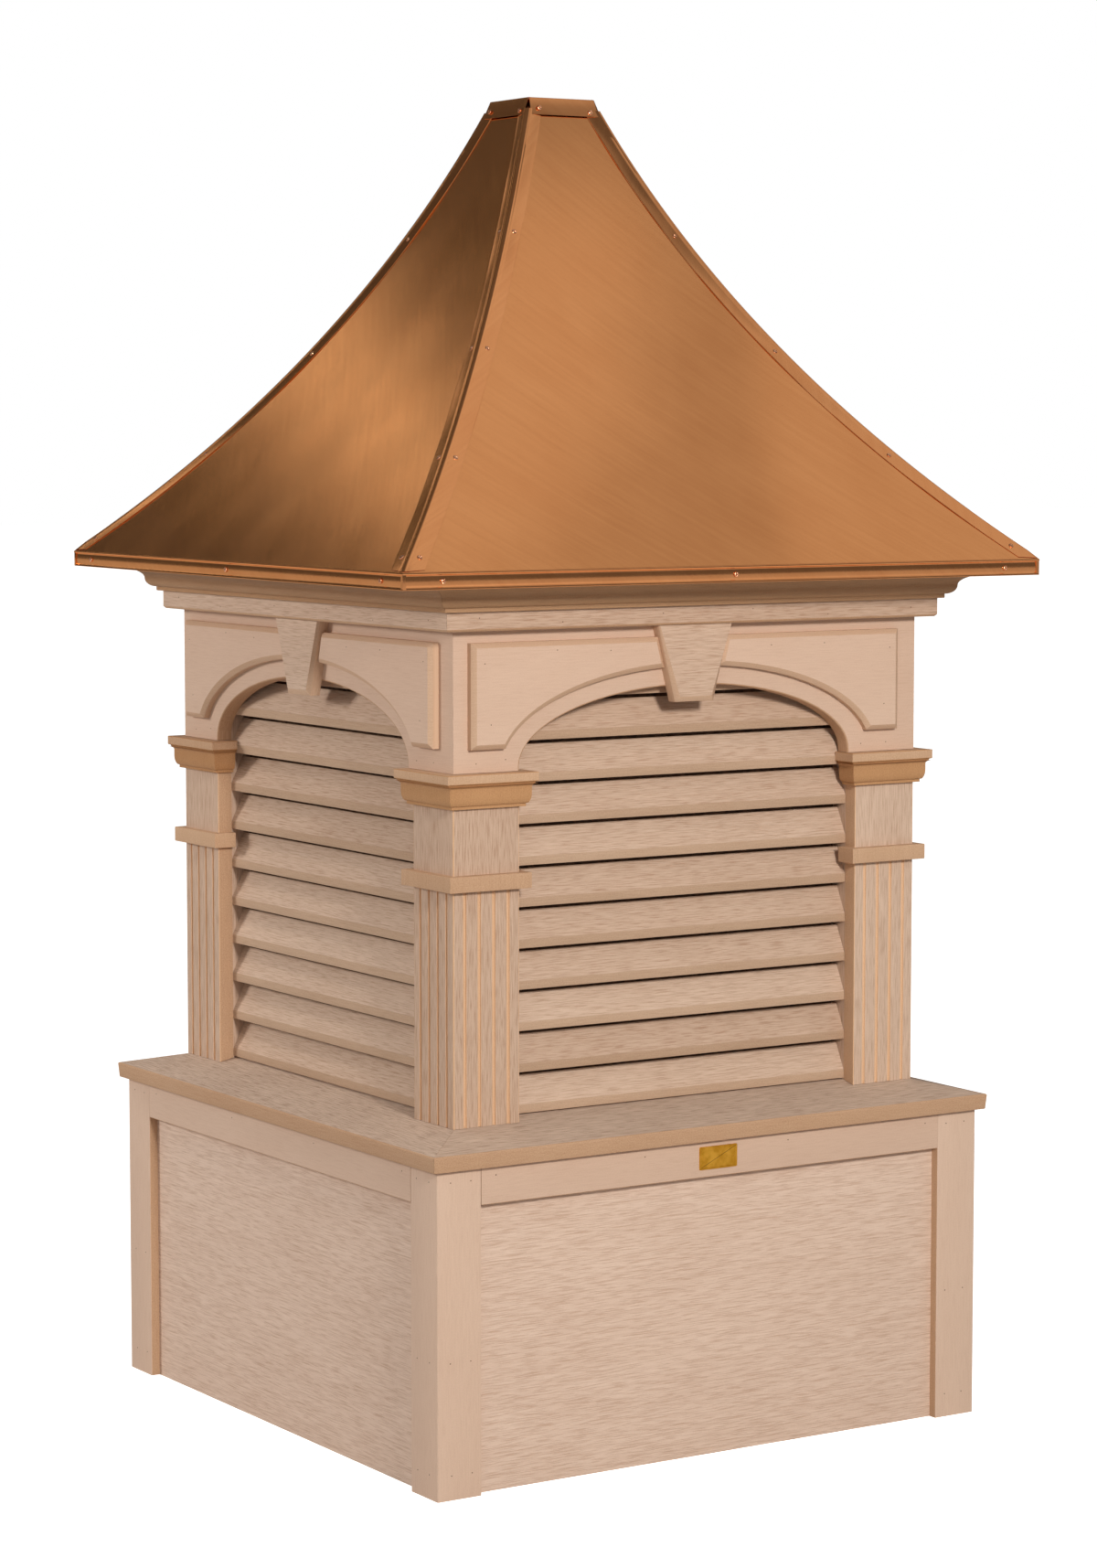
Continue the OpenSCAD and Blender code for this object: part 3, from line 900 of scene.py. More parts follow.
# ---- base -------------------------------------------------------------------
@dataclass
class Base:
    """Corner boards, rails, recessed panels, sill and plate."""

    levels: Survey
    looks: Finishes
    board_w: float = 0.092
    board_t: float = 0.018
    rail_h: float = 0.072
    sill_t: float = 0.030
    sill_lean: float = 0.0025
    nose_under: float = 0.0015
    nose_over: float = 0.0028
    round_corner: float = 0.003
    ease: float = 0.0012
    joint: float = 0.0006
    plate_corner: float = 0.003
    plate_rim: float = 0.0028
    plate_lip: float = 0.0007
    pin: tuple[float, float] = (0.0016, 0.0006)
    pin_in: float = 0.007
    nail: tuple[float, float] = (0.0012, 0.0002)
    nail_shares: tuple[float, float] = (0.3, 0.78)
    nail_down: float = 0.025
    rail_nail_down: float = 0.020
    rail_nail_in: float = 0.03
    nail_rows: tuple[float, float] = (0.045, 0.25)
    nail_stray: float = 0.002
    seed: int = 11

    def __post_init__(self) -> None:
        """Works out the levels that several boards share."""
        v = self.levels
        self.rng = np.random.default_rng(self.seed)
        self.under = v.sill_top - self.sill_t
        self.rail_top = self.under + (v.sill_half - v.base_half) * v.slope

    def corner_boards(self) -> None:
        """Two boards lapped at each corner, under the slope of the sill."""
        b, w, t = self.levels.base_half, self.board_w, self.board_t
        end, back = -b + w, -b + t
        plan = outline(
            [(-b, -b), (end, -b), (end, back), (back, back), (back, end), (-b, end)],
            [FACE, EDGE, FACE, FACE, EDGE, FACE],
            [self.round_corner, self.ease, 0, 0, 0, self.ease],
            arris=FACE,
        )
        rise = (self.levels.sill_half - np.abs(plan.points).max(1)) * self.levels.slope
        board = post(plan, 0.0, self.under + rise - self.joint)
        looks = [self.looks.smooth, self.looks.cut]
        build_four("corner_board", CORNER_NAMES, "boards", board, looks, self.rng)

    def rails(self) -> None:
        """Rails between the corner boards, with thin joints at their ends."""
        b, t, top, rise = self.levels.base_half, self.board_t, self.rail_top, self.levels.slope
        section = outline(
            [
                (b, top - self.rail_h),
                (b, top - self.joint),
                (b - t, top + t * rise - self.joint),
                (b - t, top - self.rail_h),
            ],
            [FACE, EDGE, FACE, EDGE],
            [self.ease, 0, 0, 0],
        )
        rail = run(section, b - self.board_w - self.joint)
        looks = [self.looks.smooth, self.looks.cut]
        build("base_rail_boards", around(rail, self.rng), looks, ["base_rails"])

    def sill(self) -> None:
        """Sloping sill boards, mitred at the corners, with a cut nose."""
        v = self.levels
        rise = (v.sill_half - v.sill_in) * v.slope
        section = outline(
            [
                (v.sill_half - self.sill_lean, self.under + self.sill_lean * v.slope),
                (v.sill_half, v.sill_top),
                (v.sill_in, v.sill_top + rise),
                (v.sill_in, self.under + rise),
            ],
            [EDGE, FACE, EDGE, EDGE],
            [self.nose_under, self.nose_over, 0, 0],
        )
        looks = [self.looks.sill, self.looks.cut]
        build_four("sill", SIDE_NAMES, "board", run(section), looks, self.rng)

    def plate(self) -> None:
        """Blank brass plate with a raised rim and two pins."""
        low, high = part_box("name_plate")
        t = high.y - low.y
        corners = [(low.x, low.z), (high.x, low.z), (high.x, high.z), (low.x, high.z)]
        rim, lip, ease = self.plate_rim, self.plate_lip, 0.0004
        face = slab(
            outline(corners, FACE, self.plate_corner),
            -high.y,
            [(0, 0), (0, t - ease), (ease, t), (rim, t), (rim + 0.0006, t - lip)],
            level_slots=[FACE] * 4,
        )
        x = np.array([low.x + self.pin_in, high.x - self.pin_in])
        pins = front_studs(dome(*self.pin, 12), x, -(low.y + lip), (low.z + high.z) / 2)
        looks = [self.looks.brass] * 2
        build("blank_name_plate", join([face, pins]), looks, ["name_plate"])

    def nails(self) -> None:
        """Small filled nail heads in the corner boards and rails.

        Pairs stand at shares of each corner board's width: one at the top and
        one at each row. Between them the rail has four, evenly spaced.
        """
        b, w, top = self.levels.base_half, self.board_w, self.rail_top
        pair = -b + w * np.array(self.nail_shares)
        end = b - w - self.rail_nail_in
        x = np.concatenate([pair, np.linspace(-end, end, 4), -pair, pair, pair, -pair, -pair])
        high, level = top - self.nail_down, top - self.rail_nail_down
        z = np.repeat([high, level, high, *self.nail_rows * 2], [2, 4, 2, 2, 2, 2, 2])
        x = x + self.rng.uniform(-self.nail_stray, self.nail_stray, len(x))
        shape = around(front_studs(dome(*self.nail, 8), x, b, z))
        build("base_nail_heads", shape, [self.looks.nail] * 2)

    def build(self) -> None:
        """Builds every piece of the base and dresses the panels."""
        self.corner_boards()
        self.rails()
        self.sill()
        self.plate()
        self.nails()
        for n in SIDES:
            look = self.looks.grained_x if n % 2 == 0 else self.looks.grained_y
            dress(f"base_{SIDE_NAMES[n]}_panel", look)


def dome(radius: float, height: float, count: int) -> Shape:
    """Low round head: rings at shares of the radius, rising as they shrink."""
    ring = np.array([[1.0, 0.0], [1.0, 0.45], [0.75, 0.85], [0.3, 1.0]]) * [radius, height]
    return lathe(ring, count)


def lathe(profile: np.ndarray, count: int, sunk: np.ndarray | None = None) -> Shape:
    """Solid of rings round the Z axis.

    Ring r, z gives the points (r cos a, r sin a, z - sunk) over equal angles.

    Args:
        profile: (rings, 2) radius and height, from the foot to the middle.
        count: Points in each ring.
        sunk: (count, rings) depth taken off each height, or None.

    Returns:
        The closed solid.
    """
    a = np.linspace(0.0, 2 * math.pi, count, endpoint=False)[:, None]
    r, z = profile[:, 0][None], profile[:, 1][None]
    depth = 0.0 if sunk is None else sunk
    points = np.stack([r * np.cos(a), r * np.sin(a), z * np.ones_like(a) - depth], -1)
    return tube(points, FACE, cap_slot=FACE)


# ---- louvred stage ----------------------------------------------------------
@dataclass
class Stage:
    """Corner pilasters with bands and capitals, and the louvre blades."""

    levels: Survey
    looks: Finishes
    width: float = 0.140
    thick: float = 0.030
    flute_w: float = 0.006
    flute_d: float = 0.0025
    flute_pitch: float = 0.0307
    flutes: int = 4
    neck_out: float = 0.0165
    slab_h: float = 0.0212
    slab_out: float = 0.026
    curve_h: float = 0.042
    pitch: float = 0.0762
    angle: float = math.radians(64)
    blade_t: float = 0.015
    blade_w: float = 0.059
    nose: float = 0.0152
    joint: float = 0.0008
    flute_cuts: tuple[float, float] = (0.0006, 0.0018)
    corner_cut: float = 0.0022
    return_cut: float = 0.0015
    behind: float = 0.001
    side_gap: float = 0.0005
    shade_screen_in: float = 0.042
    shade_screen_t: float = 0.0008
    seed: int = 23

    def __post_init__(self) -> None:
        """Starts the seeded choices."""
        self.rng = np.random.default_rng(self.seed)

    def plan(self, fluted: bool) -> Outline:
        """L-shaped plan of a pilaster at the front left corner.

        The front run steps in and out at each flute. The left run is the same
        with x and y exchanged, taken backwards.

        Args:
            fluted: Whether the two faces are cut with flutes.

        Returns:
            The plan, with its own finish slots in the flutes and inner returns.
        """
        b, w, t = self.levels.body_half, self.width, self.thick
        middles = -b + w / 2 + (np.arange(self.flutes) - (self.flutes - 1) / 2) * self.flute_pitch
        half, d = self.flute_w / 2, self.flute_d
        cuts = np.stack(
            [
                np.stack([middles - half, middles - half, middles + half, middles + half], 1),
                -b + np.tile([0.0, d, d, 0.0], (self.flutes, 1)),
            ],
            -1,
        ).reshape(-1, 2)
        cut = np.tile([*self.flute_cuts, *self.flute_cuts[::-1]], self.flutes)
        slots = np.tile([FLUTE, FLUTE, FLUTE, FACE], self.flutes)
        if not fluted:
            cuts, cut, slots = cuts[:0], cut[:0], slots[:0]
        end, back = -b + w, -b + t
        inner = [(end, -b), (end, back), (back, back), (back, end), (-b, end)]
        inner_cut = [self.return_cut, 0, 0, 0, self.return_cut]
        return outline(
            np.vstack([[(-b, -b)], cuts, inner, cuts[::-1, ::-1]]),
            np.concatenate([[FACE], slots, [EDGE, FACE, FACE, EDGE, FACE], slots]).astype(int),
            np.concatenate([[self.corner_cut], cut, inner_cut, cut[::-1]]),
            arris=FLUTE,
        )

    def pilasters(self) -> None:
        """Fluted shafts on the sill, plain above the neck band."""
        v = self.levels
        low, high = self.plan(True), self.plan(False)
        split = (v.neck_low + v.neck_high) / 2
        foot = v.sill_at(low.points) + self.joint
        shaft = join([post(low, foot, split), post(high, split, v.stage_top - 0.002)])
        # The flute finish is lightened to paint out the shade that falls in the grooves.
        looks = [self.looks.grained, self.looks.cut, self.looks.lightened_flute]
        build_four("pilaster", CORNER_NAMES, "shaft", shaft, looks, self.rng)

    def path(self) -> list[tuple[float, float]]:
        """Plan path round the outside of a pilaster, opening to opening."""
        b, w, t = self.levels.body_half, self.width, self.thick
        return [(-b + t, -b + w), (-b, -b + w), (-b, -b), (-b + w, -b), (-b + w, -b + t)]

    def bands(self) -> None:
        """Flat bands round the necks."""
        low, high = self.levels.neck_low, self.levels.neck_high
        o, i = self.neck_out, -self.behind
        section = outline(
            [(i, low), (o, low), (o, high), (i, high)],
            EDGE,
            [0, 0.0014, 0.0014, 0],
        )
        shape = around(moulding(self.path(), section), self.rng)
        build("neck_band_trim", shape, [self.looks.cut] * 2, ["neck_bands"])

    def capitals(self) -> None:
        """Square slab with a small cove, over a rounded moulding."""
        v = self.levels
        o, h, i = self.slab_out, self.curve_h, -self.behind
        top = v.stage_top
        z = top - self.slab_h
        slab_section = outline(
            [(i, z), (o * 0.80, z), (o * 0.84, z + 0.003), (o, z + 0.0042), (o, top), (i, top)],
            [EDGE, EDGE, EDGE, FACE, FACE, EDGE],
            [0, 0.0005, 0.0005, 0.0012, 0.0012, 0],
        )
        profile = np.vstack(
            [
                arc(90, 180, 6, (o * 0.33, h * 0.14), (o * 0.97, z - h * 0.14)),
                arc(0, -80, 10, (o * 0.27, h * 0.45), (o * 0.37, z - h * 0.42)),
                [(o * 0.34, z - h * 0.87), (o * 0.34, z - h), (i, z - h), (i, z)],
            ]
        )[::-1]
        curve = Outline(profile, np.full(len(profile), EDGE))
        shape = join([moulding(self.path(), slab_section), moulding(self.path(), curve)])
        looks = [self.looks.cut, self.looks.rich]
        build("capital_mouldings", around(shape, self.rng), looks, ["capitals"])

    def blades(self) -> None:
        """Sloping blades, each with its own board's grain and shade."""
        v = self.levels
        c, s = math.cos(self.angle), math.sin(self.angle)
        n, h, w, t = v.nose_half, self.nose, self.blade_w, self.blade_t
        back = t * s - (h - t * c) / (s / c)
        loop = [
            (n, 0.0),
            (n, h),
            (n - w * c, h + w * s),
            (n - w * c - t * s, h + w * s - t * c),
            (n - back, 0.0),
        ]
        section = outline(loop, [EDGE, FACE, EDGE, EDGE, EDGE], [0.0012, 0.0014, 0.001, 0, 0])
        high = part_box("louvres_front")[1].z
        count = round((high - v.first_blade - h - w * s) / self.pitch) + 1
        looks = [self.looks.grained, self.looks.nose]
        blade = run(section, v.open_half - self.side_gap)
        for side, name in enumerate(SIDE_NAMES):
            rows = [blade.moved(z=v.first_blade + k * self.pitch) for k in range(count)]
            blades = [row.turned(side * QUARTER).varied(self.rng) for row in rows]
            node = f"louvres_{name}"
            build(f"{node}_blades", join(blades), looks, [node])

    def screens_and_gap_shade(self) -> None:
        """Sheets behind the blades, one on each side, standing for insect screens; their dark
        brown colour paints the deep shade in the louvre gaps.
        """
        low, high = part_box("louvre_frames")
        half = self.levels.open_half
        corners = [(-half, low.z), (half, low.z), (half, high.z), (-half, high.z)]
        distance = self.levels.nose_half - self.shade_screen_in
        sheet = slab(outline(corners), distance, [(0, 0), (0, self.shade_screen_t)])
        build("insect_screens_gap_shade", around(sheet), [self.looks.screen] * 2)

    def build(self) -> None:
        """Builds every piece of the stage and dresses the side frames."""
        self.pilasters()
        self.bands()
        self.capitals()
        self.blades()
        self.screens_and_gap_shade()
        dress("louvre_frames", self.looks.upright)


# ---- arches -----------------------------------------------------------------
@dataclass
class Arches:
    """Arch boards, raised spandrel panels and keystones."""

    levels: Survey
    looks: Finishes
    half: float = 0.3705
    shift: float = 0.0095
    rise: float = 0.137
    stilt: float = 0.007
    board_t: float = 0.030
    panel_t: float = 0.018
    panel_in: float = 0.040
    panel_foot: float = 0.043
    panel_top: float = 0.022
    band_side: float = 0.045
    band_top: float = 0.036
    key_top: float = 0.161
    key_bottom: float = 0.086
    key_drop: float = 0.030
    key_t: float = 0.026
    joint: float = 0.0006
    arris: float = 0.0028
    panel_bevel: float = 0.009
    key_bevel: float = 0.010
    bevel_deep: float = 0.006
    nail: tuple[float, float] = (0.0011, 0.0002)
    nail_stray: float = 0.004
    seed: int = 37

    def __post_init__(self) -> None:
        """Works out the spring line, the crown and the keystone's slope."""
        v = self.levels
        self.rng = np.random.default_rng(self.seed)
        self.spring = v.stage_top + self.stilt
        self.crown = self.spring + self.rise
        self.key_low = self.crown - self.key_drop
        self.key_slope = (self.key_top - self.key_bottom) / (v.frieze_z - self.key_low) / 2

    def key_half(self, z: np.ndarray | float) -> np.ndarray | float:
        """Half width of the keystone at a height."""
        return self.key_bottom / 2 + self.key_slope * (z - self.key_low)

    def board(self) -> Shape:
        """Arch board with mitred outer ends and a rounded inner arris.

        The outer ends keep x equal to the distance from the middle, so boards
        meet at the corners. Only the curve takes the inset at the front.

        Returns:
            The front side's board.
        """
        v = self.levels
        b, t, low = v.body_half, self.board_t, v.stage_top + self.joint
        curve = arc(180, 0, 56, (self.half, self.rise), (-self.shift, self.spring))
        left, right = [(-self.half - self.shift, low)], [(self.half - self.shift, low)]
        ends = [(b, low), (b, v.soffit_z), (-b, v.soffit_z), (-b, low)]
        loop = np.vstack([left, curve, right, ends])
        size = len(loop)
        slots = np.full(size, FACE)
        slots[: size - 5] = EDGE
        weights = np.zeros(size)
        weights[: size - 4] = 1.0
        r = self.arris
        steps = [(0, 0), (0, t - r), (r * 0.13, t - r * 0.5), (r * 0.5, t - r * 0.13), (r, t)]
        inset, out = np.array(steps).T
        normals = inset_normals(loop) * weights[:, None]
        flat = loop[:, None] + normals[:, None] * inset[None, :, None]
        flat[[0, size - 5], :, 1] = low
        out = out[None] * np.ones((size, 1))
        corner = np.abs(loop[:, 0]) > b - 1e-6
        x = np.where(corner[:, None], np.sign(loop[:, :1]) * (b - t + out - GAP / 2), flat[..., 0])
        points = np.stack([x, -(b - t + out), flat[..., 1]], -1)
        return tube(points, slots[:, None], cap_slot=FACE)

    def spandrel(self) -> Shape:
        """Raised panel right of the keystone, with a bevelled edge.

        Its lower edge is an ellipse outside the arch, cut off where it meets
        the keystone's side.

        Returns:
            The right panel of the front side.
        """
        v = self.levels
        low, high = v.stage_top + self.panel_foot, v.frieze_z - self.panel_top
        half = (self.half + self.band_side, self.rise + self.band_top)
        first = math.degrees(math.asin((low - self.spring) / half[1]))
        curve = arc(first, 90, 400, half, (0.0, self.spring))
        curve = curve[curve[:, 0] > self.key_half(curve[:, 1]) + self.joint]
        curve = curve[np.linspace(0, len(curve) - 1, 30).round().astype(int)]
        right = v.body_half - self.panel_in
        top = (self.key_half(high) + self.joint, high)
        loop = np.vstack([curve, [top], [(right, high)], [(right, low)]])[::-1]
        face = Outline(loop, np.full(len(loop), EDGE))
        levels = self.bevelled(self.panel_t, self.panel_bevel, 0.0003)
        return slab(face, v.body_half, levels, level_slots=[EDGE, EDGE, EDGE, FACE])

    def bevelled(self, deep: float, wide: float, ease: float) -> list[tuple[float, float]]:
        """Levels of a bevelled block: a small ease, the bevel and a narrow flat.

        Args:
            deep: Thickness of the block.
            wide: Width of the bevel.
            ease: Inset of the ease at the bevel's outer edge.

        Returns:
            Insets and outward distances.
        """
        foot = deep - self.bevel_deep
        return [(0, 0), (0, foot - 0.0004), (ease, foot), (wide, deep), (wide + 0.0006, deep)]

    def keystone(self) -> Shape:
        """Wedge block with bevelled edges."""
        low, high = self.key_low, self.levels.frieze_z - self.joint
        a, b = self.key_bottom / 2, float(self.key_half(high))
        face = outline([(-a, low), (a, low), (b, high), (-b, high)], EDGE)
        levels = self.bevelled(self.key_t, self.key_bevel, 0.0004)
        weights = np.array([1.0, 1.0, 0.02, 0.02])
        return slab(face, self.levels.body_half, levels, weights, [EDGE, EDGE, EDGE, FACE])

    def nails(self) -> Shape:
        """Nail heads in the arch band and the panels of the front side.

        A spot is a distance from the middle of the arch, a height above the
        capitals and 1 where the nail is in a panel. Each is on both sides.
        """
        v = self.levels
        spots = [(0.4, 0.02, 0.0), (0.46, 0.02, 0.0), (0.44, 0.09, 1.0), (0.455, 0.2, 1.0)]
        spots += [(0.3, 0.215, 1.0), (0.18, 0.215, 1.0)]
        rows = np.array([(s * x - self.shift, z, k) for x, z, k in spots for s in (-1.0, 1.0)])
        rows[:, :2] += self.rng.uniform(-self.nail_stray, self.nail_stray, (len(rows), 2))
        x, z, on_panel = rows.T
        distance = v.body_half + on_panel * self.panel_t
        return front_studs(dome(*self.nail, 8), x, distance, v.stage_top + z)

    def build(self) -> None:
        """Builds the arch boards, panels, keystones and nail heads."""
        board, panel = self.board(), self.spandrel()
        panels = [panel.moved(-self.shift), panel.mirrored().moved(-self.shift)]
        smooth, cut, bevel = self.looks.smooth, self.looks.cut, self.looks.bevel
        for n, side in enumerate(SIDE_NAMES):
            turn = n * QUARTER
            piece, node = board.turned(turn).varied(self.rng), f"arch_{side}"
            build(f"{node}_board", piece, [smooth, cut], [node])
            piece = join([p.turned(turn).varied(self.rng) for p in panels])
            node = f"spandrels_{side}"
            build(f"{node}_panels", piece, [smooth, bevel], [node])
        keys = around(self.keystone().moved(-self.shift), self.rng)
        looks = [self.looks.grained, bevel]
        build("keystone_blocks", keys, looks, ["keystones"])
        build("arch_nail_heads", around(self.nails()), [self.looks.nail] * 2)


# ---- frieze and crown -------------------------------------------------------
@dataclass
class Cornice:
    """Frieze board and crown moulding under the eave."""

    levels: Survey
    looks: Finishes
    frieze_out: float = 0.031
    bevel: float = 0.004
    crown_out: float = 0.104
    ledge: float = 0.010
    ledge_h: float = 0.008
    bead: float = 0.017
    lip: float = 0.014
    ease: float = 0.001
    nail: tuple[float, float] = (0.0011, 0.0002)
    nail_reach: float = 0.5
    seed: int = 41

    def frieze(self, rng: np.random.Generator) -> None:
        """Flat frieze with a bevelled lower edge, mitred at the corners."""
        v = self.levels
        b, o = v.body_half, self.frieze_out
        section = outline(
            [
                (b, v.frieze_z),
                (b + o - self.bevel, v.frieze_z),
                (b + o, v.frieze_z + self.bevel),
                (b + o, v.crown_z),
                (b, v.crown_z),
            ],
            [EDGE, EDGE, FACE, EDGE, FACE],
            [0, 0.0004, 0.0006, 0, 0],
        )
        looks = [self.looks.grained, self.looks.cut]
        build("frieze_boards", around(run(section), rng), looks, ["frieze"])

    def crown(self, rng: np.random.Generator) -> None:
        """Crown moulding: a ledge, a rounded bead and a hollow flare."""
        v = self.levels
        b, z, h = v.body_half, v.crown_z, v.soffit_z - v.crown_z
        ledge = self.frieze_out + self.ledge
        r = self.bead
        flare = (self.crown_out - ledge - r - 0.0005, h - self.ledge_h - r - self.lip)
        edge, lift, ease = b + ledge, z + self.ledge_h, self.ease
        loop = np.vstack(
            [
                [(b, z), (edge - ease, z), (edge, z + ease), (edge, lift)],
                arc(-90, 0, 10, (r, r), (edge + 0.0005, lift + r)),
                arc(180, 90, 14, flare, (b + self.crown_out, lift + r + 0.0001)),
                [(b + self.crown_out, z + h - GAP), (b, z + h - GAP)],
            ]
        )
        section = Outline(loop, np.full(len(loop), FACE))
        # The crown finish is darkened to paint the shade that falls under the eave.
        looks = [self.looks.crown, self.looks.cut]
        shape = around(run(section), rng)
        build("crown_mouldings", shape, looks, ["crown_moulding"])

    def nails(self, rng: np.random.Generator) -> None:
        """Nail heads along the frieze."""
        v = self.levels
        x = np.linspace(-self.nail_reach, self.nail_reach, 6) + rng.uniform(-0.02, 0.02, 6)
        z = v.frieze_z + rng.uniform(0.010, 0.026, 6)
        shape = front_studs(dome(*self.nail, 8), x, v.body_half + self.frieze_out, z)
        build("frieze_nail_heads", around(shape), [self.looks.nail] * 2)

    def build(self) -> None:
        """Builds the frieze, the crown and their nail heads."""
        rng = np.random.default_rng(self.seed)
        self.frieze(rng)
        self.crown(rng)
        self.nails(rng)
        dress("soffit", self.looks.grained_x)


# ---- copper roof ------------------------------------------------------------
@dataclass
class Roof:
    """Hollow-curved faces, hip caps, drip edge, collar, cap and screws."""

    levels: Survey
    looks: Finishes
    top_half: float = 0.070
    curve: float = 2.407
    board_t: float = 0.012
    sheet_t: float = 0.003
    drip_h: float = 0.0311
    hip_low: float = 0.042
    hip_high: float = 0.031
    collar_h: float = 0.031
    collar_gap: float = 0.010
    collar_t: float = 0.0012
    curl: tuple[float, float] = (0.001, 0.0034)
    cap_in: float = 0.002
    ripple: float = 0.0004
    waves: int = 5
    hem: float = 0.0009
    hip_wave: float = 0.0003
    bead: float = 0.0047
    screw_r: float = 0.0048
    cross_half: float = 0.0006
    cross_deep: float = 0.0012
    hip_screws: tuple[float, ...] = (0.026, 0.219, 0.449, 0.706)
    drip_screw: float = 0.61
    seed: int = 53

    def __post_init__(self) -> None:
        """Centre of the roof's curve, on the outer side of its chord.

        The sag distance is the square root of the radius squared less a
        quarter of the chord squared, laid off square to the chord.
        """
        v = self.levels
        self.rng = np.random.default_rng(self.seed)
        across, up = v.eave_half - self.top_half, v.roof_z - v.eave_z
        chord = math.hypot(across, up)
        sag = math.sqrt(self.curve**2 - chord**2 / 4)
        self.cx = (v.eave_half + self.top_half) / 2 + sag * up / chord
        self.cz = (v.eave_z + v.roof_z) / 2 + sag * across / chord

    def distance(self, z: np.ndarray | float, out: float = 0.0) -> np.ndarray:
        """Distance of the surface from the middle at a height."""
        return self.cx - np.sqrt((self.curve - out) ** 2 - (self.cz - np.asarray(z)) ** 2)

    def normal(self, z: np.ndarray | float) -> np.ndarray:
        """Outward direction (distance, height) of the surface at a height."""
        d = self.distance(z)
        n = np.stack(np.broadcast_arrays(self.cx - d, self.cz - np.asarray(z)), -1)
        return n / np.linalg.norm(n, axis=-1, keepdims=True)

    def placed(self, shape: Shape) -> Shape:
        """The shape turned with the roof."""
        return shape.turned(self.levels.turn)

    def face(self) -> Shape:
        """One roof face with soft dents in its sheet.

        The outer skin is moved inwards by a sum of slow waves, faded out
        towards the hips, the eave and the collar.

        Returns:
            The front face, unturned.
        """
        v = self.levels
        rows, cols = 56, 41
        z = np.linspace(v.eave_z, v.roof_z, rows)
        d = self.distance(z)
        inner_z = np.linspace(v.roof_z, v.eave_z, 12)
        inner = self.distance(inner_z) - self.board_t
        loop_d, loop_z = np.concatenate([d, inner]), np.concatenate([z, inner_z])
        s = np.linspace(-1.0, 1.0, cols)[None]
        x, up = loop_d[:, None] * s, loop_z[:, None]
        waves = sum(
            self.rng.uniform(0.3, 1.0)
            * np.sin(x * self.rng.uniform(-26, 26) + up * self.rng.uniform(4, 24) + phase)
            for phase in self.rng.uniform(0, 2 * math.pi, self.waves)
        )
        share = np.clip((loop_z - v.eave_z) / (v.roof_z - v.eave_z), 0, 1)[:, None]
        fade = (1 - s**4) * np.clip(share * 12, 0, 1) * np.clip((1 - share) * 12, 0, 1)
        fade[rows:] = 0.0
        depth = -self.ripple * 0.25 * (waves + 2.6) * fade
        n = self.normal(loop_z)
        y = -(loop_d[:, None] + depth * n[:, :1])
        height = up + depth * n[:, 1:]
        length = np.concatenate([[0.0], np.cumsum(np.hypot(np.diff(loop_d), np.diff(loop_z)))])
        length = np.append(length, length[-1] + self.board_t)
        grain = np.stack([np.concatenate([x, x[:1]]), length[:, None] * np.ones((1, cols))], -1)
        return tube(np.stack([x, y, height], -1), FACE, grain, cap_slot=FACE)

    def faces(self) -> None:
        """The four roof faces, each dented and brushed in its own way."""
        for n, side in enumerate(SIDE_NAMES):
            node = f"roof_{side}"
            shape = self.placed(self.face().turned(n * QUARTER)).varied(self.rng)
            build(f"{node}_sheet", shape, [self.looks.sheet], [node], sharp=50)

    def hip(self) -> Shape:
        """Hip cap: two flanges that open a little wider than the hip, and a bead.

        In plan a flange point lies s along its face and off it by a distance
        that falls from the hip to the flange's edge, a quarter-round hem. The
        bead is an arc about the hip line. Slow waves lift each flange a little,
        and the foot is cut on the skew.

        Returns:
            The front left cap, unturned.
        """
        v = self.levels
        foot, top = v.eave_z + 0.004, v.roof_z - self.collar_h + 0.012
        z = np.linspace(foot, top, 70)
        d = self.distance(z)[:, None]
        share = ((z - foot) / (top - foot))[:, None]
        width = self.hip_low + (self.hip_high - self.hip_low) * share
        hem = np.radians([0.0, 28.0, 56.0, 84.0])[None]
        r = self.hem
        s = np.hstack([width + r * (np.cos(hem) - 1.0), width * [[0.93, 0.6, 0.3, 0.12]]])
        rise = np.array([[0.0, 0.0, 0.0, 0.0, 0.0, 0.0008, 0.0015, 0.0020]]) * share
        flat = [[0.0014, 0.0023, 0.0032, 0.0038]] * np.ones_like(share)
        off = np.hstack([0.0004 + r * np.sin(hem) * np.ones_like(share), flat]) + rise
        phase = self.rng.uniform(0, 6, 4)
        wave = np.sin(z * 23 + phase[0]) + np.sin(z * 41 + phase[1]) + 1.2
        other = np.sin(z * 19 + phase[2]) + np.sin(z * 47 + phase[3]) + 1.2
        lift = self.hip_wave * np.array([[0.0, 0.5, 0.9, 1.0, 1.0, 0.5, 0.2, 0.0]])
        a = np.radians(np.linspace(-66, -204, 9))[None]
        swell = self.bead + 0.0021 * share
        bead = (-d + 0.0007 + swell * np.cos(a), -d + 0.0007 + swell * np.sin(a))
        inner = np.array([0.9, 0.1])[None] * width
        along, hip, hollow = -d + s, -d + 0 * inner, -d + inner
        front, left = (-d - off - w[:, None] * lift for w in (wave, other))
        x = np.hstack([along, bead[0], left[:, ::-1], hip, hollow[:, ::-1]])
        y = np.hstack([front, bead[1], along[:, ::-1], hollow, hip])
        ends = np.clip(1 - (z - foot) / 0.004, 0, 1)[:, None]
        skew = ends * (0.004 - 0.09 * np.minimum(np.abs(x + d) + np.abs(y + d), 0.04))
        height = z[:, None] * np.ones_like(x) - np.maximum(skew, 0) * 0.6
        points = np.stack([x, y, height], -1).transpose(1, 0, 2)
        across = np.linalg.norm(np.diff(points[:, 0], axis=0, append=points[:1, 0]), axis=1)
        lengths = np.concatenate([[0.0], np.cumsum(across)])
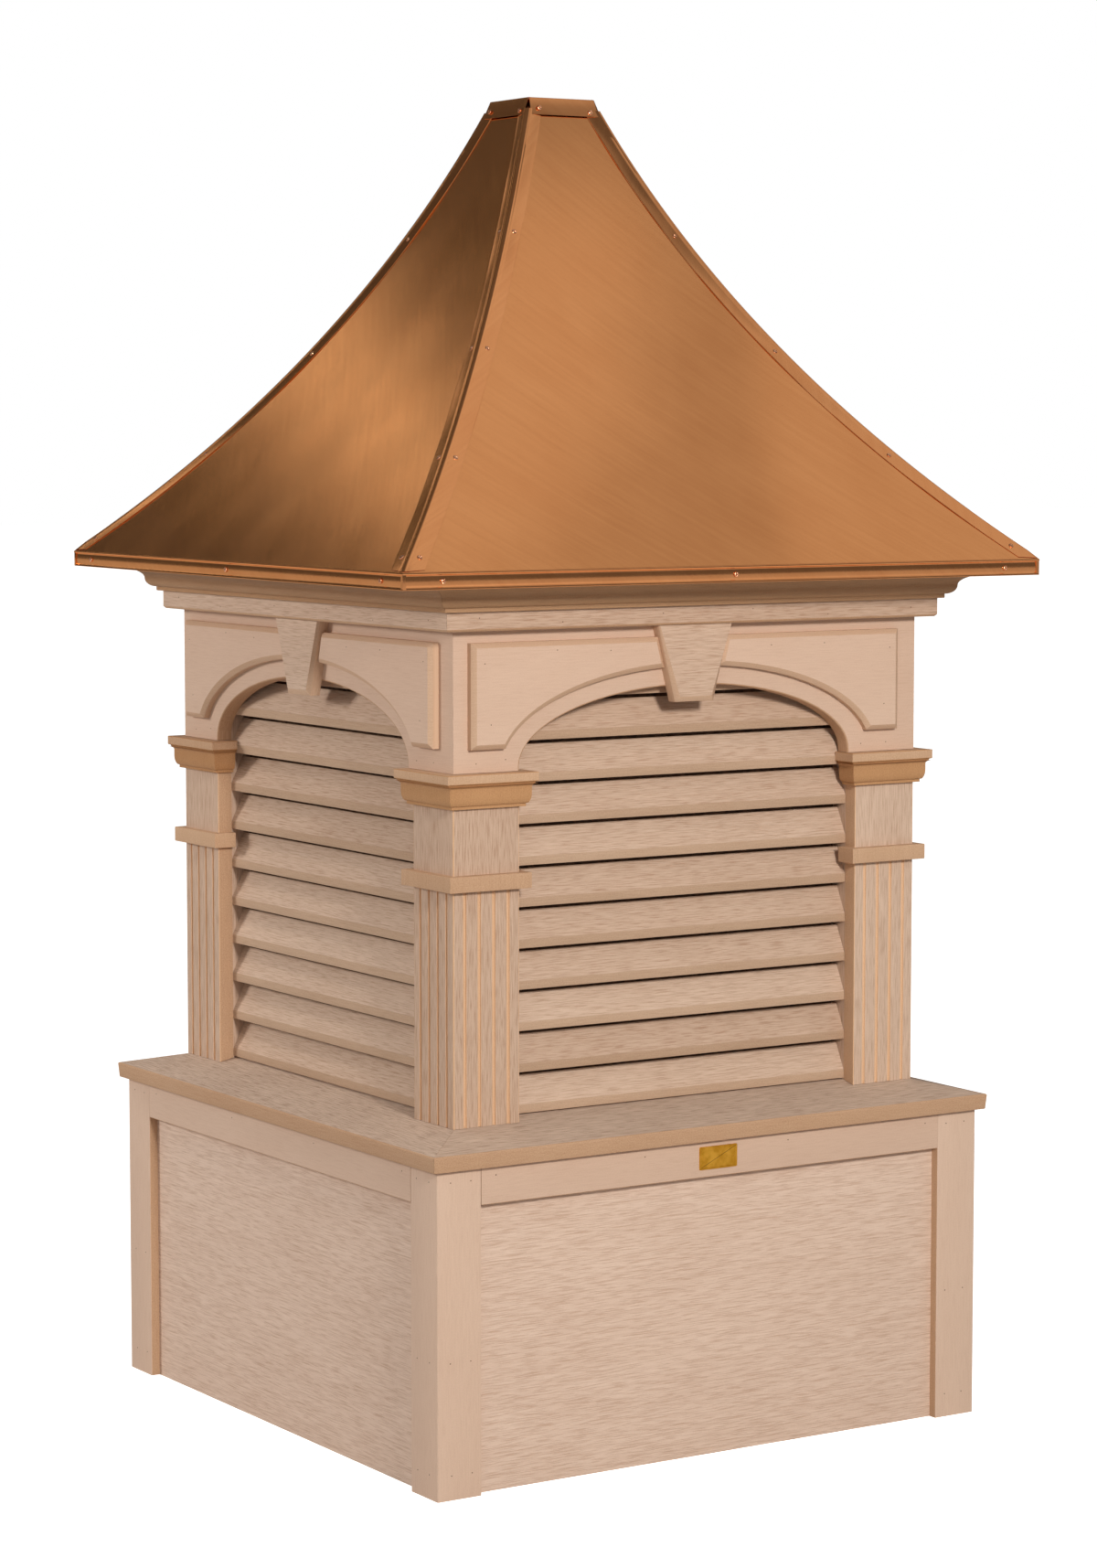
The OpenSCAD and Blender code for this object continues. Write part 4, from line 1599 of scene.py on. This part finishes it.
        slope = np.concatenate([[0.0], np.cumsum(np.hypot(np.diff(z), np.diff(d[:, 0])))])
        grain = np.stack(np.meshgrid(lengths, slope, indexing="ij"), -1)
        return tube(points, FACE, grain, cap_slot=FACE)

    def hips(self) -> None:
        """Hip caps on the four hips."""
        caps = [self.hip().turned(n * QUARTER).varied(self.rng) for n in SIDES]
        shape = self.placed(join(caps))
        build("hip_cap_trim", shape, [self.looks.trim], ["hip_caps"], sharp=40)

    def drip(self) -> None:
        """Drip edge: rolled top, bowed face, kicked-out lip and a corner strip."""
        v = self.levels
        d, z, h = v.eave_half, v.eave_z, self.drip_h
        bow = arc(-62, 62, 8, (0.0016, (h - 0.012) / 1.77), (d - 0.0022, z - h / 2 - 0.0012))
        loop = np.vstack(
            [
                [(d - 0.004, z - h), (d + 0.0004, z - h), (d + 0.0009, z - h + 0.0008)],
                [(d + 0.0006, z - h + 0.0024), (d - 0.0010, z - h + 0.0042)],
                bow,
                [(d - 0.0012, z - 0.0056)],
                arc(-80, 100, 8, (0.0026, 0.0026), (d - 0.0010, z - 0.0026)),
                [(d - 0.0040, z - 0.0002)],
            ]
        )
        section = Outline(loop, np.full(len(loop), FACE))
        length = run(section, cols=9)
        near, far, low, high = d - 0.006, d + 0.0008, z - h + 0.001, z - 0.004
        seam = outline([(near, low), (far, low), (far, high), (near, high)], FACE, 0.0006)
        strip = run(seam, 0.0035).moved(x=-d + 0.0030)
        shape = self.placed(around(join([length, strip]), self.rng))
        build("drip_edge_trim", shape, [self.looks.trim], ["drip_edge"], sharp=40)

    def collar(self) -> None:
        """Four collar sheets with open corners, bent out a little at the ends."""
        v = self.levels
        low = v.roof_z - self.collar_h
        foot = float(self.distance(low)) + 0.0034
        top = self.top_half + self.sheet_t
        t, rim, inner = self.collar_t, v.top_z, top - 0.004
        corners = [
            (foot, low),
            (foot + t, low),
            (top + t, rim - 0.0006),
            (inner, rim - 0.0002),
            (inner, rim - t),
            (top, rim - t - 0.0006),
        ]
        section = outline(corners, FACE, [0, 0.0003, 0.0010, 0, 0, 0])
        share = np.clip((section.points[:, 1] - low) / self.collar_h, 0, 1)
        reach = (foot - self.collar_gap) + (top - 0.001 - foot + self.collar_gap) * share
        sheets = []
        for n in SIDES:
            sheet = run(section, reach, 17)
            x, y, z = sheet.points.T
            end = np.clip(np.abs(x) / foot * 1.15 - 0.62, 0, 1)
            down = 1 - np.clip((z - low) / self.collar_h, 0, 1)
            curl = self.rng.uniform(*self.curl, 2)
            amount = np.where(x < 0, curl[0], curl[1]) * end**2 * down
            sheet.points = np.stack([x, y - amount, z + amount * 0.3], 1)
            sheets.append(sheet.turned(n * QUARTER).varied(self.rng))
        shape = self.placed(join(sheets))
        build("top_collar_sheets", shape, [self.looks.trim], ["top_collar"], sharp=40)

    def cap(self) -> None:
        """Flat sheet inside the collar."""
        v = self.levels
        half = self.top_half - self.cap_in
        plan = outline([(-half, -half), (half, -half), (half, half), (-half, half)], FACE, 0.001)
        cap = self.placed(post(plan, v.roof_z - 0.0005, v.top_z - 0.0014))
        build("roof_cap_sheet", cap, [self.looks.sheet] * 2, ["roof_cap"])

    def screw(self) -> Shape:
        """Pan head with a cross recess.

        The recess deepens where the distance from the nearest cross arm's
        centre line is under its half width, near the middle of the head.

        Returns:
            The head on its own XY plane.
        """
        count, half = 24, self.cross_half
        rings = [(1, 0), (1.02, 0.24), (0.92, 0.44), (0.7, 0.56), (0.52, 0.61), (0.34, 0.63)]
        profile = np.array([*rings, (0.12, 0.64)]) * self.screw_r
        r = profile[:, 0][None]
        a = np.linspace(0.0, 2 * math.pi, count, endpoint=False)[:, None]
        arm = np.abs(np.sin((a + QUARTER / 2) % QUARTER - QUARTER / 2)) * r
        sunk = np.clip(1.5 - arm / half, 0, 1) * np.clip((0.6 * self.screw_r - r) / half, 0, 1)
        return lathe(profile, count, sunk * self.cross_deep)

    def screws(self) -> None:
        """Screws on the hip caps, the drip edge and the collar."""
        v = self.levels
        z = v.eave_z + (v.roof_z - v.eave_z) * np.array(self.hip_screws)
        z = z + self.rng.uniform(-0.004, 0.004, 4)
        d = self.distance(z)
        n = self.normal(z)
        width = np.interp(z, [v.eave_z, v.roof_z], [self.hip_low, self.hip_high])
        flat = np.zeros(4)
        front = np.stack([-d + width * 0.5, -d - 0.0016, z], 1)
        front_n = np.stack([flat, -n[:, 0], n[:, 1]], 1)
        side, side_n = front[:, [1, 0, 2]], front_n[:, [1, 0, 2]]
        x = np.array([-self.drip_screw, 0.0, self.drip_screw])
        edge = np.stack([x, np.full(3, -v.eave_half + 0.0002), np.full(3, v.eave_z - 0.0165)], 1)
        low = v.roof_z - self.collar_h + 0.009
        half = float(self.distance(low)) + 0.0052
        ring = np.array([[-half + 0.028, -half, low + 0.004], [half - 0.026, -half, low - 0.001]])
        places = np.vstack([front, side, edge, ring])
        level = np.tile([0.0, -1.0, 0.0], (3, 1))
        normals = np.vstack([front_n, side_n, level, np.tile([0.0, -0.985, 0.17], (2, 1))])
        shape = self.placed(around(studded(self.screw(), places, normals)))
        build("roof_screws", shape, [self.looks.screw])

    def build(self) -> None:
        """Builds every copper piece."""
        self.faces()
        self.hips()
        self.drip()
        self.collar()
        self.cap()
        self.screws()


# ---- studio -----------------------------------------------------------------
@dataclass(frozen=True)
class SoftBox:
    """A rectangular light or card at a place, facing a point."""

    name: str
    at: tuple[float, float, float]
    size: tuple[float, float]
    radiance: float
    colour: tuple[float, float, float] = (1.0, 1.0, 1.0)
    lights_boards: bool = True
    shows_in_copper: bool = True
    roll: float = 0.0
    aim: tuple[float, float, float] = (0.0, 0.0, 1.3)

    def hang(self) -> None:
        """Adds the light, whose power is radiance times pi times its area."""
        way = Vector(self.at) - Vector(self.aim)
        data = bpy.data.lights.new(self.name, "AREA")
        data.shape = "RECTANGLE"
        data.size, data.size_y = self.size
        data.energy = self.radiance * math.pi * self.size[0] * self.size[1]
        data.color = self.colour
        light = bpy.data.objects.new(self.name, data)
        light.matrix_world = (
            Matrix.Translation(self.at)
            @ way.to_track_quat("Z", "Y").to_matrix().to_4x4()
            @ Matrix.Rotation(math.radians(self.roll), 4, "Z")
        )
        light.visible_diffuse = self.lights_boards
        light.visible_glossy = self.shows_in_copper
        light.visible_camera = False
        bpy.context.scene.collection.objects.link(light)


@dataclass(frozen=True)
class Studio:
    """Camera, pale floor, soft boxes and surroundings.

    Mirrored rays see the room with three lobes added to it: bright, rim and
    dark, each with its direction and the two angles it fades between.
    """

    camera_at: tuple[float, float, float] = (-4.17386, -6.55602, 1.93053)
    heading: float = -0.568583
    dip: float = -0.091757
    lens: float = 90.77
    floor_half: float = 60.0
    surround: float = 0.36
    room: float = 0.14
    bright: float = 0.36
    bright_way: tuple[float, float, float] = (0.707, 0.0, 0.707)
    bright_angles: tuple[float, float] = (37.0, 26.0)
    rim: float = 0.5
    rim_way: tuple[float, float, float] = (-0.80, -0.50, 0.33)
    rim_angles: tuple[float, float] = (40.0, 20.0)
    dark: float = 0.085
    dark_way: tuple[float, float, float] = (-0.124, 0.882, 0.454)
    dark_angles: tuple[float, float] = (38.0, 18.0)

    def camera(self) -> None:
        """Level camera looking a little down at the front left corner."""
        data = bpy.data.cameras.new("camera")
        data.lens = self.lens
        data.sensor_width = 36.0
        camera = bpy.data.objects.new("camera", data)
        camera.location = self.camera_at
        camera.rotation_euler = (QUARTER + self.dip, 0.0, self.heading)
        bpy.context.scene.collection.objects.link(camera)
        bpy.context.scene.camera = camera

    def floor(self) -> None:
        """Large level sheet under the cupola, pale and matt."""
        half = self.floor_half
        mesh = bpy.data.meshes.new("floor")
        corners = [(-half, -half, 0), (half, -half, 0), (half, half, 0), (-half, half, 0)]
        mesh.from_pydata(corners, [], [(0, 1, 2, 3)])
        g = Graph(bpy.data.materials.new("pale_floor"))
        seen = g.node("ShaderNodeLightPath", output="Is Camera Ray")
        pale = g.node("ShaderNodeBsdfDiffuse", inputs={"Color": (0.9, 0.9, 0.9, 1.0)})
        glow = g.node("ShaderNodeEmission", inputs={"Color": (1, 1, 1, 1), "Strength": 0.85})
        bright = g.node("ShaderNodeAddShader", inputs={0: pale, 1: glow})
        dull = g.node("ShaderNodeBsdfDiffuse", inputs={"Color": (0.45, 0.42, 0.4, 1.0)})
        mirrored = g.node("ShaderNodeLightPath", output="Is Glossy Ray")
        glint = {"Color": (1, 1, 1, 1), "Strength": mirrored * 0.35}
        shine = g.node("ShaderNodeEmission", inputs=glint)
        other = g.node("ShaderNodeAddShader", inputs={0: dull, 1: shine})
        both = g.node("ShaderNodeMixShader", inputs={0: seen, 1: other, 2: bright})
        g.node("ShaderNodeOutputMaterial", inputs={"Surface": both})
        mesh.materials.append(g.owner)
        floor = bpy.data.objects.new("floor", mesh)
        bpy.context.scene.collection.objects.link(floor)

    @staticmethod
    def lobe(
        graph: Graph, way: Value, middle: tuple[float, float, float], angles: tuple[float, float]
    ) -> Value:
        """One near a direction, falling to zero between two angles from it.

        Args:
            graph: Node tree of the surroundings.
            way: Direction of the ray.
            middle: Unit direction of the lobe.
            angles: Angles in degrees where it is 0 and where it reaches 1.

        Returns:
            The share.
        """
        near = graph.node(
            "ShaderNodeVectorMath", {"operation": "DOT_PRODUCT"}, {0: way, 1: middle}, output=1
        )
        wide, tight = (math.cos(math.radians(a)) for a in angles)
        return graph.step(near, wide, tight)

    def surroundings(self) -> None:
        """Even grey for the boards, light and dark ends for the copper to mirror.

        The camera sees white. Mirrored rays see a grey room with two brighter
        lobes and a darker one.
        """
        g = Graph(bpy.data.worlds.new("surroundings"))
        seen = g.node("ShaderNodeLightPath", output="Is Camera Ray")
        mirrored = g.node("ShaderNodeLightPath", output="Is Glossy Ray")
        way = g.node("ShaderNodeTexCoord", output="Generated")
        room = (
            self.room
            + self.lobe(g, way, self.bright_way, self.bright_angles) * self.bright
            + self.lobe(g, way, self.rim_way, self.rim_angles) * self.rim
            + self.lobe(g, way, self.dark_way, self.dark_angles) * (self.dark - self.room)
        )
        level = room * mirrored + (1.0 - mirrored) * self.surround
        colour = (1.0, 0.98, 0.96, 1.0)
        soft = g.node("ShaderNodeBackground", inputs={"Color": colour, "Strength": level})
        white = g.node("ShaderNodeBackground", inputs={"Color": (1, 1, 1, 1), "Strength": 1.0})
        both = g.node("ShaderNodeMixShader", inputs={0: seen, 1: soft, 2: white})
        g.node("ShaderNodeOutputWorld", inputs={"Surface": both})
        bpy.context.scene.world = g.owner

    def build(self) -> None:
        """Sets up the camera, floor, surroundings and lights."""
        self.camera()
        self.floor()
        self.surroundings()
        bpy.context.scene.view_settings.view_transform = "Standard"
        boxes = (
            SoftBox("key", (-1.26, -6.5, 3.58), (0.9, 0.9), 118.0, (1.0, 0.98, 0.95)),
            SoftBox("left_fill", (-5.3, 2.9, 2.8), (1.2, 1.2), 36.0, shows_in_copper=False),
            SoftBox(
                "band_card", (-1.02, 7.1, 5.66), (0.5, 3.6), 1.0, lights_boards=False, roll=33.0,
                aim=(-0.4, 0.0, 1.97),
            ),
            SoftBox(
                "roof_card", (0.64, -0.85, 3.35), (0.34, 0.9), 0.20, lights_boards=False,
                aim=(0.0, -0.3, 2.1),
            ),
            SoftBox(
                "low_card", (1.6, -0.85, 3.2), (0.6, 0.9), 0.14, lights_boards=False,
                aim=(0.2, -0.4, 1.9),
            ),
        )
        for box in boxes:
            box.hang()


def main() -> None:
    """Builds the cupola from the ground up, then the studio."""
    logging.basicConfig(level=logging.INFO, format="%(name)s: %(message)s")
    levels = Survey.read(math.tan(math.radians(12.9)), math.radians(-1.75))
    looks = Finishes()
    for assembly in (Base, Stage, Arches, Cornice, Roof):
        assembly(levels, looks).build()
    Studio().build()


if __name__ == "__main__":
    main()
